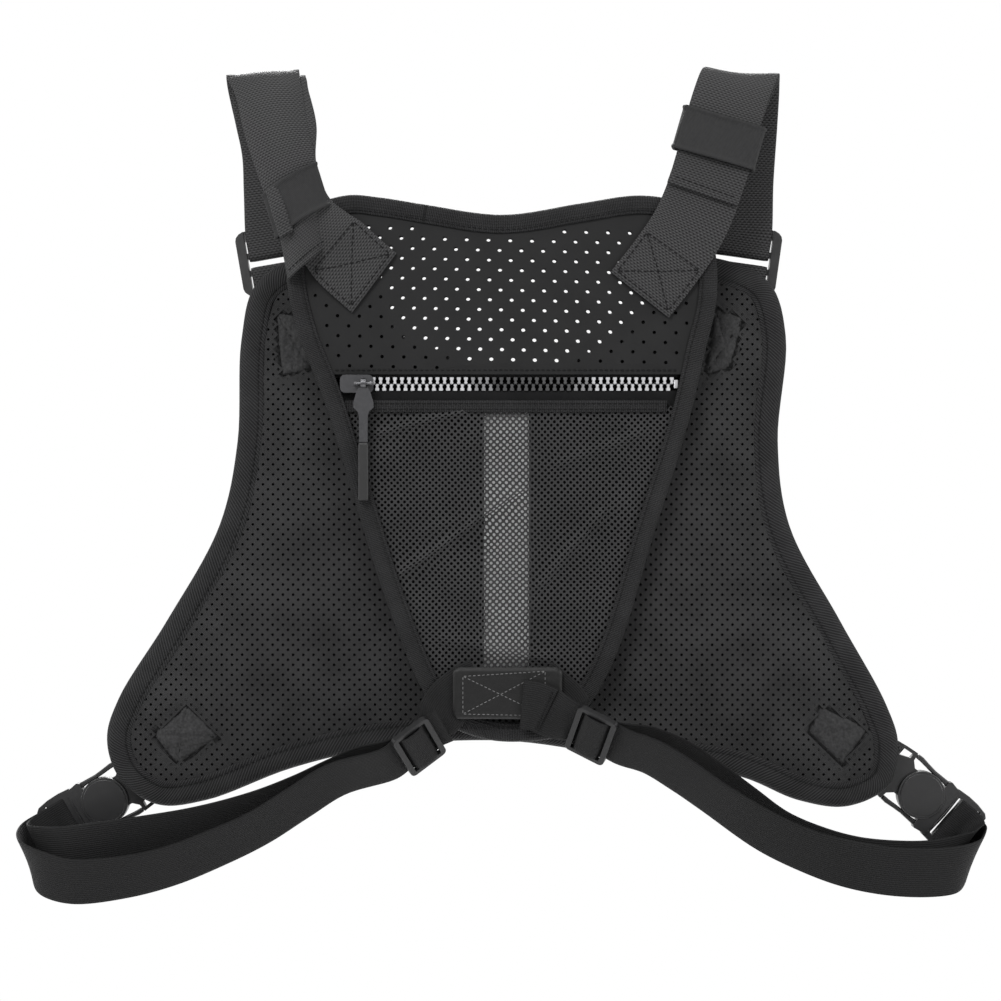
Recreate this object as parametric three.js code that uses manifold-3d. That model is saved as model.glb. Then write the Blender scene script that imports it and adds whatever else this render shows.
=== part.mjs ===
// Chest-and-back harness vest: a padded chest panel and a tapered back panel with a mesh pocket,
// joined by adjustable shoulder webbing and by doubled elastic waist straps with release buckles.
// Millimetres. +X is to the right as seen from behind the wearer, +Z is up, and -Y is the
// outward side of the back panel. The origin is where a rail carries both shoulder straps.
import * as THREE from 'three';
import { mergeVertices } from 'three/addons/utils/BufferGeometryUtils.js';
import Module from 'manifold-3d';

// ---------------------------------------------------------------- driving dimensions
const CLEARANCE = 0.3;            // least gap between neighbouring pieces

const SHOULDER_WEB = 38;          // shoulder webbing width
const WEB_THICKNESS = 1.2;
const WAIST_WEB = 25;             // waist elastic and hip tab width
const ELASTIC_THICKNESS = 1.1;

// chest panel, from its body side (y = 0) to its outer side
const LINING = { near: 0, far: 2.5 };
const FOAM = { near: 2.8, far: 6.8 };
const SHELL = { near: 7.1, far: 8.1 };
const CHEST_TAPE_WIDTH = 12;
const BACK_TAPE_WIDTH = 9;
const TAPE_THICKNESS = 0.8;

// back panel, from its outward side (lowest y) to its body side
const YOKE = { near: -16.9, far: -14.5 };
const MESH = { near: -15.3, far: -14.5 };
const ZIP_TAPE = { near: -14.2, far: -13.4 };
const STRIP = { near: -11.4, far: -10.8 };
const BASE = { near: -10.5, far: -9.5 };
const YOKE_HEM_Z = -153.6;        // lower edge of the yoke, just above the zip
const POCKET_TOP_Z = -167.6;      // upper edge of the mesh pocket

const ZIP_CENTRE_Z = -158.5;
const ZIP_CHAIN_HEIGHT = 6;
const ZIP_PITCH = 3.65;
const ZIP_TOOTH = 1.35;

const PATCH = { width: 55.8, height: 26.4, near: -23.3, far: -22.15 };

const BUCKLE_Y = 14;              // depth of both buckles' middle plane
const ADJUSTER_Y = 12.7;          // depth of both ladder locks' middle plane

// ---------------------------------------------------------------- materials
function fabric(color, roughness = 0.9) {
  return new THREE.MeshStandardMaterial({ color, roughness, metalness: 0 });
}

const LINING_CLOTH = fabric(0x1b1c1e);
const FOAM_STUFF = fabric(0x2b2b2d);
const SHELL_CLOTH = fabric(0x161719);
const BINDING_TAPE = fabric(0x1d1d1f);
const NEOPRENE = fabric(0x111113, 0.8);
const NETTING = fabric(0x131315);
const REFLECTIVE = fabric(0x77797c, 0.45);
const WEBBING = fabric(0x19191b, 0.75);
const ELASTIC = fabric(0x151517);
const PATCH_LEATHER = fabric(0x141415, 0.6);
const PLASTIC = new THREE.MeshStandardMaterial({ color: 0x1d1d20, roughness: 0.4, metalness: 0 });
const ZIP_METAL = new THREE.MeshStandardMaterial({ color: 0x6d6e72, roughness: 0.3, metalness: 1 });
const GRIP_RUBBER = fabric(0x1a1a1c, 0.7);

// ---------------------------------------------------------------- solid modelling helpers
const wasm = await Module();
wasm.setup();

function toSolid(geometry) {
  const bare = geometry.clone();
  bare.deleteAttribute('normal');
  bare.deleteAttribute('uv');
  const merged = mergeVertices(bare, 1e-4);
  const mesh = new wasm.Mesh({
    numProp: 3,
    vertProperties: new Float32Array(merged.attributes.position.array),
    triVerts: new Uint32Array(merged.index.array),
  });
  return new wasm.Manifold(mesh);
}

function toGeometry(solid) {
  const mesh = solid.getMesh();
  const geometry = new THREE.BufferGeometry();
  geometry.setAttribute('position', new THREE.BufferAttribute(new Float32Array(mesh.vertProperties), 3));
  geometry.setIndex(new THREE.BufferAttribute(new Uint32Array(mesh.triVerts), 1));
  geometry.computeVertexNormals();
  return geometry;
}

function join(first, ...rest) {
  return toGeometry(rest.reduce((sum, piece) => sum.add(toSolid(piece)), toSolid(first)));
}

function cut(body, ...tools) {
  return toGeometry(tools.reduce((left, tool) => left.subtract(toSolid(tool)), toSolid(body)));
}

// a box between two corners
function block(x0, x1, y0, y1, z0, z1) {
  const geometry = new THREE.BoxGeometry(x1 - x0, y1 - y0, z1 - z0);
  geometry.translate((x0 + x1) / 2, (y0 + y1) / 2, (z0 + z1) / 2);
  return geometry;
}

// a flat shape in the local XY plane, thickened from z0 to z1
function slab(points, z0, z1) {
  const shape = new THREE.Shape(points.map(([x, y]) => new THREE.Vector2(x, y)));
  const geometry = new THREE.ExtrudeGeometry(shape, { depth: z1 - z0, bevelEnabled: false });
  geometry.translate(0, 0, z0);
  return geometry;
}

// a flat shape in the XZ plane, thickened from y = near to y = far
function plate(points, { near, far }) {
  const geometry = slab(points, 0, far - near);
  geometry.rotateX(Math.PI / 2);
  geometry.translate(0, far, 0);
  return geometry;
}

// a rectangle with rounded corners, as [x, y] points
function roundedRectangle(x0, x1, y0, y1, radius, cornerSteps = 4) {
  const centres = [[x1 - radius, y1 - radius], [x0 + radius, y1 - radius]];
  centres.push([x0 + radius, y0 + radius], [x1 - radius, y0 + radius]);
  const points = [];
  centres.forEach(([cx, cy], corner) => {
    for (let step = 0; step <= cornerSteps; step += 1) {
      const angle = (corner + step / cornerSteps) * Math.PI / 2;
      points.push([cx + radius * Math.cos(angle), cy + radius * Math.sin(angle)]);
    }
  });
  return points;
}

// a smooth closed outline through hand-placed [x, z] points
function smoothLoop(points, perSpan = 3) {
  const curve = new THREE.CatmullRomCurve3(points.map(([x, z]) => new THREE.Vector3(x, z, 0)), true);
  return curve.getPoints(points.length * perSpan).slice(0, -1).map((p) => [p.x, p.y]);
}

// a counter-clockwise outline moved outwards by a distance, or inwards if it is negative
function offsetLoop(points, distance) {
  const count = points.length;
  const moved = points.map(([x, z], i) => {
    const [px, pz] = points[(i + count - 1) % count];
    const [nx, nz] = points[(i + 1) % count];
    const length = Math.hypot(nx - px, nz - pz);
    return [x + distance * (nz - pz) / length, z - distance * (nx - px) / length];
  });
  // where the outline bends tighter than the distance, the moved points fold over and are dropped
  return moved.filter(([x, z]) => {
    const nearest = Math.min(...points.map(([px, pz]) => Math.hypot(x - px, z - pz)));
    return nearest > Math.abs(distance) * 0.985;
  });
}

// the part of an outline above (side = 1) or below (side = -1) a height
function clipLoop(points, height, side) {
  const inside = ([, z]) => side * (z - height) >= 0;
  const kept = [];
  points.forEach((point, i) => {
    const next = points[(i + 1) % points.length];
    if (inside(point)) kept.push(point);
    if (inside(point) !== inside(next)) {
      const share = (height - point[1]) / (next[1] - point[1]);
      kept.push([point[0] + share * (next[0] - point[0]), height]);
    }
  });
  return kept;
}

// folded tape round the edge of a panel that lies between y = near and y = far
function edgeBinding(outline, { near, far }, width) {
  const wrapped = { near: near - CLEARANCE, far: far + CLEARANCE };
  const outer = { near: wrapped.near - TAPE_THICKNESS, far: wrapped.far + TAPE_THICKNESS };
  const past = { near: outer.near - 1, far: outer.far + 1 };
  return cut(
    plate(offsetLoop(outline, TAPE_THICKNESS), outer),
    plate(outline, wrapped),
    plate(offsetLoop(outline, TAPE_THICKNESS - width), past),
  );
}

// A flat strap through stations [x, y, z, ax, ay, az]: a point on its middle line, and the
// direction across its width there.
function ribbon(stations, width, thickness, perSpan = 2) {
  const centres = stations.map(([x, y, z]) => new THREE.Vector3(x, y, z));
  const sides = stations.map(([, , , x, y, z]) => new THREE.Vector3(x, y, z).normalize());
  const middle = new THREE.CatmullRomCurve3(centres);
  const across = new THREE.CatmullRomCurve3(sides);
  const steps = (stations.length - 1) * perSpan;
  const vertices = [];
  for (let i = 0; i <= steps; i += 1) {
    const centre = middle.getPoint(i / steps);
    const along = middle.getTangent(i / steps);
    const side = across.getPoint(i / steps);
    side.addScaledVector(along, -side.dot(along)).normalize();
    const up = new THREE.Vector3().crossVectors(along, side).normalize();
    side.multiplyScalar(width / 2);
    up.multiplyScalar(thickness / 2);
    [[1, 1], [-1, 1], [-1, -1], [1, -1]].forEach(([s, u]) => {
      const corner = centre.clone().addScaledVector(side, s).addScaledVector(up, u);
      vertices.push(corner.x, corner.y, corner.z);
    });
  }
  const faces = [];
  for (let i = 0; i < steps; i += 1) {
    for (let k = 0; k < 4; k += 1) {
      const a = 4 * i + k;
      const b = 4 * i + (k + 1) % 4;
      faces.push(a, b, b + 4, a, b + 4, a + 4);
    }
  }
  const last = 4 * steps;
  faces.push(0, 2, 1, 0, 3, 2, last, last + 1, last + 2, last, last + 2, last + 3);
  const geometry = new THREE.BufferGeometry();
  geometry.setAttribute('position', new THREE.Float32BufferAttribute(vertices, 3));
  geometry.setIndex(faces);
  geometry.computeVertexNormals();
  return geometry;
}

// ---------------------------------------------------------------- scene graph helpers
const vest = new THREE.Group();

function addMesh(parent, name, geometry, material) {
  const mesh = new THREE.Mesh(geometry, material);
  mesh.name = name;
  parent.add(mesh);
}

// a group whose local axes point along two given directions; its Z axis faces -Y in the vest
function orientedGroup(origin, xAxis, yAxis) {
  const x = new THREE.Vector3(...xAxis).normalize();
  const y = new THREE.Vector3(...yAxis);
  y.addScaledVector(x, -y.dot(x)).normalize();
  const z = new THREE.Vector3().crossVectors(x, y);
  const group = new THREE.Group();
  group.quaternion.setFromRotationMatrix(new THREE.Matrix4().makeBasis(x, y, z));
  group.position.set(...origin);
  group.updateMatrixWorld();
  vest.add(group);
  return group;
}

// a strap station given in a group's local axes, returned in the vest's axes
function stationIn(group, x, y, z, across) {
  const point = new THREE.Vector3(x, y, z).applyMatrix4(group.matrixWorld);
  const side = new THREE.Vector3(...across).transformDirection(group.matrixWorld);
  return [point.x, point.y, point.z, side.x, side.y, side.z];
}

// ---------------------------------------------------------------- chest panel
// shoulder lobe, flank and hip corner on each side, and the neckline between the lobes
const CHEST_LEFT = [
  [-70, -93], [-108, -93.5], [-128, -107], [-135, -135], [-137, -188], [-146.4, -231.7], [-174, -281.7],
  [-199, -322], [-205, -342], [-199, -362], [-180, -375.8], [-155, -373.8], [-110, -357], [-63.6, -346.3],
];
const CHEST_HEM_MIDDLE = [[0, -342.6]];
const CHEST_RIGHT = [
  [61, -351], [124.5, -361.4], [155, -373.8], [180, -376.8], [201, -366], [205.5, -345], [199.5, -325.4],
  [175.5, -281.7], [148.9, -231.7], [142.8, -188], [147, -133], [139, -106], [118, -94.5], [88, -93],
];
const NECKLINE = [
  [79, -105], [72, -125], [48, -141], [22, -150], [-14, -148.5], [-40, -138], [-56, -130], [-62, -108],
];
const chestOutline = smoothLoop([...CHEST_LEFT, ...CHEST_HEM_MIDDLE, ...CHEST_RIGHT, ...NECKLINE]);

addMesh(vest, 'chest_mesh_lining', plate(offsetLoop(chestOutline, -0.4), LINING), LINING_CLOTH);
addMesh(vest, 'chest_foam_pad', plate(offsetLoop(chestOutline, -2), FOAM), FOAM_STUFF);
addMesh(vest, 'chest_outer_shell', plate(offsetLoop(chestOutline, -0.4), SHELL), SHELL_CLOTH);
addMesh(
  vest,
  'chest_binding',
  edgeBinding(chestOutline, { near: LINING.near, far: SHELL.far }, CHEST_TAPE_WIDTH),
  BINDING_TAPE,
);

// ---------------------------------------------------------------- back panel
const BACK_LEFT = [
  [-40, -67], [-62, -63.5], [-80, -62.3], [-98, -69], [-108, -84], [-110, -104], [-103.7, -133.6],
  [-91, -166], [-77.4, -210.4], [-58.8, -269.7], [-42, -312], [-30, -331], [-10, -340],
];
const BACK_RIGHT = [
  [12, -341.5], [31, -338], [45, -322], [58.8, -295.5], [76.3, -238.8], [95.4, -176.9], [104, -140],
  [109, -119], [109.8, -99.5], [106, -80], [97, -69], [85, -64], [68.6, -62.4], [40, -66.5], [0, -72.3],
];
const backOutline = smoothLoop([...BACK_LEFT, ...BACK_RIGHT]);
const backInside = offsetLoop(backOutline, -0.4);

addMesh(vest, 'back_yoke', plate(clipLoop(backInside, YOKE_HEM_Z, 1), YOKE), NEOPRENE);
addMesh(vest, 'back_base_panel', plate(backInside, BASE), SHELL_CLOTH);
addMesh(vest, 'mesh_pocket', plate(clipLoop(backInside, POCKET_TOP_Z, -1), MESH), NETTING);
addMesh(
  vest,
  'back_binding',
  edgeBinding(backOutline, { near: YOKE.near, far: BASE.far }, BACK_TAPE_WIDTH),
  BINDING_TAPE,
);
addMesh(
  vest,
  'reflective_strip',
  plate(roundedRectangle(-9.3, 13.9, -304.5, -171, 1), STRIP),
  REFLECTIVE,
);
addMesh(
  vest,
  'pocket_hem',
  plate([[-78, -172.9], [82, -172.9], [83, -167.2], [-80, -167.2]], { near: -16.5, far: -15.6 }),
  BINDING_TAPE,
);

// ---------------------------------------------------------------- zips
// One closed zip: two tapes, two rows of meshing teeth, end stops, a slider and its pull. Local axes
// as in orientedGroup: X along the zip, Y up, Z out of the fabric. The slider stands at low X.
function toothRow(length, side) {
  const spine = side * ZIP_CHAIN_HEIGHT / 2;
  const root = side * (ZIP_CHAIN_HEIGHT / 2 - 0.8);
  const tip = side * -1.5;
  const first = side > 0 ? 0.4 : 0.4 + ZIP_PITCH / 2;
  const points = [[0, spine], [0, root]];
  for (let x = first; x + ZIP_TOOTH < length; x += ZIP_PITCH) {
    points.push([x, root], [x, tip], [x + ZIP_TOOTH, tip], [x + ZIP_TOOTH, root]);
  }
  points.push([length, root], [length, spine]);
  return side > 0 ? points : points.reverse();
}

function makeSlider() {
  const front = slab(roundedRectangle(-8.5, 8.5, -4.6, 4.6, 2.5), 2.9, 4.5);
  const rear = slab(roundedRectangle(-8.5, 8.5, -4.6, 4.6, 2.5), -2.9, -1.9);
  const nose = block(-8, -5.6, -1.6, 1.6, -2.2, 3.2);
  const postLeft = block(-1.2, 0.8, -1, 1, 4.2, 8.4);
  const postRight = block(7, 8.4, -1, 1, 4.2, 8.4);
  const bar = new THREE.CylinderGeometry(0.9, 0.9, 9.4, 10);
  bar.rotateZ(Math.PI / 2);
  bar.translate(3.7, 0, 7.6);
  return join(front, rear, nose, postLeft, postRight, bar);
}

// the pull's eye goes round the slider's bar, and its head and stem hang below
function makePull() {
  const eyeOuter = new THREE.CylinderGeometry(2.7, 2.7, 2.6, 16);
  eyeOuter.rotateZ(Math.PI / 2);
  const eyeHole = new THREE.CylinderGeometry(1.45, 1.45, 4, 12);
  eyeHole.rotateZ(Math.PI / 2);
  const head = slab([
    [-2.4, -2.2], [-3.4, -4], [-5.2, -10], [-5.1, -12.4], [-3, -14.4], [-2.3, -16.5], [-2.2, -30],
    [2.2, -30], [2.3, -16.5], [3, -14.4], [5.1, -12.4], [5.2, -10], [3.4, -4], [2.4, -2.2],
  ], -1, 1);
  return cut(join(eyeOuter, head), eyeHole);
}

function makeZip(group, prefix, length, { upperReach, lowerReach, withGrip }) {
  const edge = ZIP_CHAIN_HEIGHT / 2 + CLEARANCE;
  const upperTape = block(-9, length, edge, upperReach, -0.4, 0.4);
  const lowerTape = block(-9, length, -lowerReach, -edge, -0.4, 0.4);
  addMesh(group, `${prefix}_tape_upper`, upperTape, BINDING_TAPE);
  addMesh(group, `${prefix}_tape_lower`, lowerTape, BINDING_TAPE);
  [[1, 'upper'], [-1, 'lower']].forEach(([side, name]) => {
    const teeth = slab(toothRow(length - 3, side), -1.3, 1.3);
    addMesh(group, `${prefix}_teeth_${name}`, teeth, ZIP_METAL);
  });
  const endStop = block(length - 2.6, length - 0.4, -2.2, 2.2, -1.2, 1.4);
  addMesh(group, `${prefix}_end_stop`, endStop, ZIP_METAL);
  const sliderX = 3.4;
  const slider = makeSlider();
  slider.translate(sliderX, 0, 0);
  addMesh(group, `${prefix}_slider`, slider, ZIP_METAL);
  const pull = makePull();
  pull.translate(sliderX + 3.7, 0, 7.6);
  addMesh(group, `${prefix}_pull`, pull, ZIP_METAL);
  if (withGrip) {
    const grip = block(-2.6, 2.6, -60, -30.4, -1.7, 1.7);
    grip.translate(sliderX + 3.7, 0, 7.6);
    addMesh(group, `${prefix}_pull_grip`, grip, GRIP_RUBBER);
  }
}

const backZipDepth = (ZIP_TAPE.near + ZIP_TAPE.far) / 2;
const backZip = orientedGroup([-78, backZipDepth, ZIP_CENTRE_Z], [1, 0, 0], [0, 0, 1]);
makeZip(backZip, 'back_zip', 169, { upperReach: 9.4, lowerReach: 13.2, withGrip: true });

// ---------------------------------------------------------------- chest pocket
// a flat patch pocket on the chest shell, with a zip across its mouth
const POCKET = { near: 8.4, far: 11.9, cloth: 1 };
const CHEST_ZIP_Z = -200;
const CHEST_ZIP_REACH = 8;

// a symmetric outline from its right-hand half, listed downwards
function mirrored(half) {
  return [...half, ...half.map(([x, z]) => [-x, z]).reverse()];
}

function hollowPanel(outer, inner) {
  return cut(plate(outer, POCKET), plate(inner, { near: POCKET.near - 1, far: POCKET.far - POCKET.cloth }));
}

const mouth = CHEST_ZIP_Z - CHEST_ZIP_REACH - CLEARANCE;
addMesh(
  vest,
  'chest_pocket',
  hollowPanel(
    mirrored([[88, mouth], [98, -296], [94, -314], [80, -322]]),
    mirrored([[86, mouth + 2], [96, -296], [92, -313], [80, -320]]),
  ),
  SHELL_CLOTH,
);
const bandFoot = CHEST_ZIP_Z + CHEST_ZIP_REACH + CLEARANCE;
addMesh(
  vest,
  'chest_pocket_band',
  hollowPanel(
    mirrored([[80, -171], [85, -176], [87, bandFoot]]),
    mirrored([[79, -173], [83, -177], [85, bandFoot - 2]]),
  ),
  SHELL_CLOTH,
);
const chestZipDepth = POCKET.far - 0.5;
const chestZip = orientedGroup([76, chestZipDepth, CHEST_ZIP_Z], [-1, 0, 0], [0, 0, 1]);
makeZip(chestZip, 'chest_zip', 161, {
  upperReach: CHEST_ZIP_REACH,
  lowerReach: CHEST_ZIP_REACH,
  withGrip: false,
});

// ---------------------------------------------------------------- waist patch and straps
const halfPatch = [PATCH.width / 2, PATCH.height / 2];
const patchOutline = roundedRectangle(-halfPatch[0], halfPatch[0], -halfPatch[1], halfPatch[1], 3);
const patch = plate(patchOutline, PATCH);
patch.translate(2.8, 0, -316.8);
addMesh(vest, 'waist_patch', patch, PATCH_LEATHER);

// Each strap is one length of tape, listed from its sewn end to its free end. The rows are
// [x, y, z] on its middle line and the direction across it.

// where a doubled strap passes a tri-glide: the sewn layer runs straight behind it
const SEWN_LAYER_DEPTH = -2.9;
// and the return layer climbs over the centre bar, as [along, out of the face]
const HUMP = [[17, -1.1], [12, -1.05], [8.8, -1], [6.8, -0.3], [4.2, 1.9], [2, 2.5]];

function makeTriglide(name, { centre, outward, up }) {
  const group = orientedGroup(centre, outward, up);
  const frame = slab(roundedRectangle(-11, 11, -16, 16, 3.5), 0, 2.2);
  const outerSlot = block(2, 7.8, -13.2, 13.2, -1, 4);
  const innerSlot = block(-7.8, -2, -13.2, 13.2, -1, 4);
  const barRelief = block(-3, 3, -13.2, 13.2, 1.4, 4);
  addMesh(group, name, cut(frame, outerSlot, innerSlot, barRelief), PLASTIC);
  return group;
}

// the sewn layer's way out behind a tri-glide, and the return layer's way back through it
function sewnPass(group, across) {
  return [-9, 9].map((x) => stationIn(group, x, 0, SEWN_LAYER_DEPTH, across));
}

function returnPass(group, across) {
  const inner = HUMP.slice(1).reverse().map(([x, z]) => [-x, z]);
  return [...HUMP, ...inner].map(([x, z]) => stationIn(group, x, 0, z, across));
}

// once round the plug's inner bar, in the buckle's local axes
const PLUG_LOOP = [[29, 3.4], [23, 3.4], [19.6, 2.9], [18.4, 0], [19.6, -2.9], [23, -3.4], [29, -3.4]];
function plugPass(group, across) {
  return PLUG_LOOP.map(([x, z]) => stationIn(group, x, 0, z, across));
}

// ---------------------------------------------------------------- release buckles
const BUCKLE_HALF_WIDTH = 15.5;
const LATCH_PIVOT = { x: 13, y: 10.6 };

function makeSocket() {
  const mouth = slab(roundedRectangle(4, 15, -BUCKLE_HALF_WIDTH, BUCKLE_HALF_WIDTH, 2), -4, 4);
  const disc = new THREE.CylinderGeometry(12, 12, 8, 32);
  disc.rotateX(Math.PI / 2);
  const neck = block(-20, -8, -8, 8, -4, 4);
  const heel = slab(roundedRectangle(-28.5, -19, -BUCKLE_HALF_WIDTH, BUCKLE_HALF_WIDTH, 2.5), -2.5, 2.5);
  const button = new THREE.CylinderGeometry(11, 11.6, 0.9, 32);
  button.rotateX(Math.PI / 2);
  button.translate(0, 0, 4.4);
  const lip = block(12.4, 14.2, -13.5, 13.5, 3.8, 4.8);
  const cavity = block(-13, 16, -13.4, 13.4, -2.3, 2.3);
  const webSlot = block(-25.2, -21.2, -13.2, 13.2, -6, 6);
  return cut(join(mouth, disc, neck, heel, button, lip), cavity, webSlot);
}

function makePlug() {
  const halfWidth = BUCKLE_HALF_WIDTH + 0.5;
  const base = slab(roundedRectangle(15.4, 33, -halfWidth, halfWidth, 3), -2.5, 2.5);
  const innerSlot = block(17, 20, -13.2, 13.2, -4, 4);
  const outerSlot = block(23, 29.5, -13.2, 13.2, -4, 4);
  const frontRelief = block(19, 24, -13.2, 13.2, 1.5, 4);
  const rearRelief = block(19, 24, -13.2, 13.2, -4, -1.5);
  const root = block(11, 16, -7.4, 7.4, -1.9, 1.9);
  const tongue = block(-11, 12, -3, 3, -1.9, 1.9);
  return cut(join(base, root, tongue), innerSlot, outerSlot, frontRelief, rearRelief);
}

// one springy arm of the plug, with the thumb pad that catches behind the socket's mouth
function makeLatchArm(side) {
  const outline = [
    [14.4, 9.2], [14.4, 12.1], [-3, 12.1], [-5.5, 14.4], [-12.5, 14.4], [-14.6, 12.4],
    [-14.6, 9.8], [-12.6, 9],
  ];
  const windowShape = [[-6.4, 10.6], [-8.6, 13], [-12.8, 13], [-12.8, 10.6]];
  const arm = slab(outline.map(([x, y]) => [x, side * y]), -1.9, 1.9);
  return cut(arm, slab(windowShape.map(([x, y]) => [x, side * y]), -3, 3));
}

// webbing folded round the socket's heel bar; its two layers are sewn to the chest shell
const HIP_TAB = [
  [-74, 4.1], [-54, 4.1], [-36, 4], [-30.5, 3.5], [-26.5, 3.4], [-23.9, 2.7], [-23.2, 0],
  [-23.9, -2.7], [-26.5, -3.4], [-31, -2.6], [-38, 1.6], [-46, 2.5], [-60, 2.5], [-74, 2.5],
];

function makeBuckle(side, centre, outward, across) {
  const group = orientedGroup(centre, outward, across);
  addMesh(group, `buckle_socket_${side}`, makeSocket(), PLASTIC);
  addMesh(group, `buckle_plug_${side}`, makePlug(), PLASTIC);
  addMesh(group, `latch_arm_upper_${side}`, makeLatchArm(side === 'left' ? -1 : 1), PLASTIC);
  addMesh(group, `latch_arm_lower_${side}`, makeLatchArm(side === 'left' ? 1 : -1), PLASTIC);
  const tab = ribbon(HIP_TAB.map(([x, z]) => [x, 0, z, 0, 1, 0]), WAIST_WEB, ELASTIC_THICKNESS);
  addMesh(group, `hip_tab_${side}`, tab, WEBBING);
  return group;
}

const rightBuckle = makeBuckle('right', [220.2, BUCKLE_Y, -373], [0.755, 0, -0.656], [0.656, 0, 0.755]);
const leftBuckle = makeBuckle('left', [-208.6, BUCKLE_Y, -376.2], [-0.857, 0, -0.515], [0.515, 0, -0.857]);

// ---------------------------------------------------------------- waist elastics
const RIGHT_GLIDE = { centre: [45.8, -30, -336.9], outward: [0.88, -0.2, -0.43], up: [0.183, -0.6, 0.78] };
const LEFT_GLIDE = { centre: [-42.9, -30, -342.5], outward: [-0.79, -0.18, -0.58], up: [0.33, 0.68, -0.64] };
const rightGlide = makeTriglide('triglide_right', RIGHT_GLIDE);
const leftGlide = makeTriglide('triglide_left', LEFT_GLIDE);

const waistRight = [
  [18, -20.2, -311, 0.62, 0, 0.78],
  [26, -20.2, -317, 0.6, 0.03, 0.8],
  [32, -20.7, -322.5, 0.5, 0.03, 0.86],
  [35.2, -22.9, -327.3, 0.4, 0.05, 0.9],
  ...sewnPass(rightGlide, [0, 1, 0]),
  [74, -28, -342, 0.12, -0.65, 0.75],
  [90, -26.5, -348.5, 0.3, -0.65, 0.7],
  [105, -25, -359, 0.35, -0.6, 0.72],
  [122, -22, -373, 0.35, -0.5, 0.79],
  [140, -20.5, -387, 0.3, -0.4, 0.87],
  [160, -20, -396.5, 0.25, -0.25, 0.93],
  [180, -20, -402.5, 0.15, -0.1, 0.98],
  [205, -19.5, -405, 0.03, 0, 1],
  [225, -17, -405, 0, 0, 1],
  [238, -11, -403.5, 0.1, 0, 0.99],
  [244, -3, -401, 0.3, 0, 0.95],
  [245.5, 4, -397.5, 0.5, 0, 0.87],
  ...plugPass(rightBuckle, [0, 1, 0]),
  [246.3, 16.9, -395.7, 0.62, 0, 0.79],
  [250.2, 11, -399, 0.5, 0, 0.87],
  [250.5, 1, -403, 0.25, 0, 0.97],
  [247, -8.5, -406, 0.1, 0, 0.99],
  [238, -17.5, -408, 0.03, 0, 1],
  [222, -23, -408.5, 0, 0, 1],
  [200, -26, -407.5, 0.02, -0.05, 1],
  [180, -28, -404, 0.12, -0.15, 0.98],
  [158, -30, -397.5, 0.28, -0.4, 0.87],
  [136, -31.5, -387.5, 0.35, -0.5, 0.79],
  [107.4, -33, -369, 0.4, -0.65, 0.65],
  [91.6, -33, -358, 0.36, -0.65, 0.67],
  [76, -33, -348.5, 0.3, -0.65, 0.7],
  ...returnPass(rightGlide, [0, 1, 0]),
  [29, -27.2, -329, 0.2, -0.35, 0.93],
  [21, -25.7, -326, 0.22, 0, 0.97],
  [10, -24.6, -322.6, 0.2, 0, 0.98],
];
addMesh(vest, 'waist_elastic_right', ribbon(waistRight, WAIST_WEB, ELASTIC_THICKNESS), ELASTIC);

const waistLeft = [
  [-11, -20.2, -311, -0.3, 0, 0.95],
  [-20, -20.2, -315.5, -0.45, 0.02, 0.89],
  [-27, -20.2, -321.5, -0.5, 0.05, 0.85],
  [-31.5, -21.2, -328, -0.5, 0.1, 0.85],
  ...sewnPass(leftGlide, [0, -1, 0]),
  [-70, -28, -352, -0.3, -0.65, 0.7],
  [-86, -27, -359, -0.3, -0.65, 0.7],
  [-102, -26, -367, -0.3, -0.6, 0.74],
  [-124, -24, -376.5, -0.3, -0.5, 0.8],
  [-154, -21.5, -385.5, -0.25, -0.4, 0.88],
  [-184, -20, -391.5, -0.2, -0.3, 0.93],
  [-210, -18.5, -396, -0.12, -0.1, 0.98],
  [-228, -15, -398.5, -0.1, 0, 0.99],
  [-239, -9, -399, -0.2, 0, 0.98],
  [-244, -2, -398, -0.35, 0, 0.93],
  [-242.5, 5, -396, -0.45, 0, 0.9],
  ...plugPass(leftBuckle, [0, -1, 0]),
  [-238.4, 16.9, -394.1, -0.5, 0, 0.87],
  [-245.8, 11.8, -397.9, -0.4, 0, 0.9],
  [-249.5, 2, -402, -0.25, 0, 0.97],
  [-247.5, -8, -406, -0.1, 0, 0.99],
  [-239, -17.5, -409.8, -0.05, -0.1, 0.99],
  [-220, -24, -412.8, -0.05, -0.25, 0.96],
  [-193, -27.5, -410, -0.15, -0.4, 0.9],
  [-169, -29.5, -404, -0.25, -0.5, 0.83],
  [-145, -31, -394.5, -0.3, -0.58, 0.76],
  [-123, -32, -384, -0.35, -0.62, 0.7],
  [-104, -33, -372, -0.38, -0.64, 0.67],
  [-84, -33.3, -359.5, -0.36, -0.65, 0.67],
  ...returnPass(leftGlide, [0, -1, 0]),
  [-29.6, -27, -332.7, -0.33, -0.6, 0.68],
];
addMesh(vest, 'waist_elastic_left', ribbon(waistLeft, WAIST_WEB, ELASTIC_THICKNESS), ELASTIC);

// ---------------------------------------------------------------- shoulder ladder locks and tabs
function makeAdjuster() {
  const body = slab(roundedRectangle(-22.8, 22.8, -17.5, 17.5, 5), -2.6, 2.6);
  const slots = [[-18, -6.5], [-3.5, 2.5], [5.5, 12]].map(([y0, y1]) => block(-19.7, 19.7, y0, y1, -5, 5));
  const frontRelief = block(-19.7, 19.7, -30, 30, 1.5, 4);
  const rearRelief = block(-19.7, 19.7, -30, 30, -4, -1.5);
  return cut(body, ...slots, frontRelief, rearRelief);
}

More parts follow.
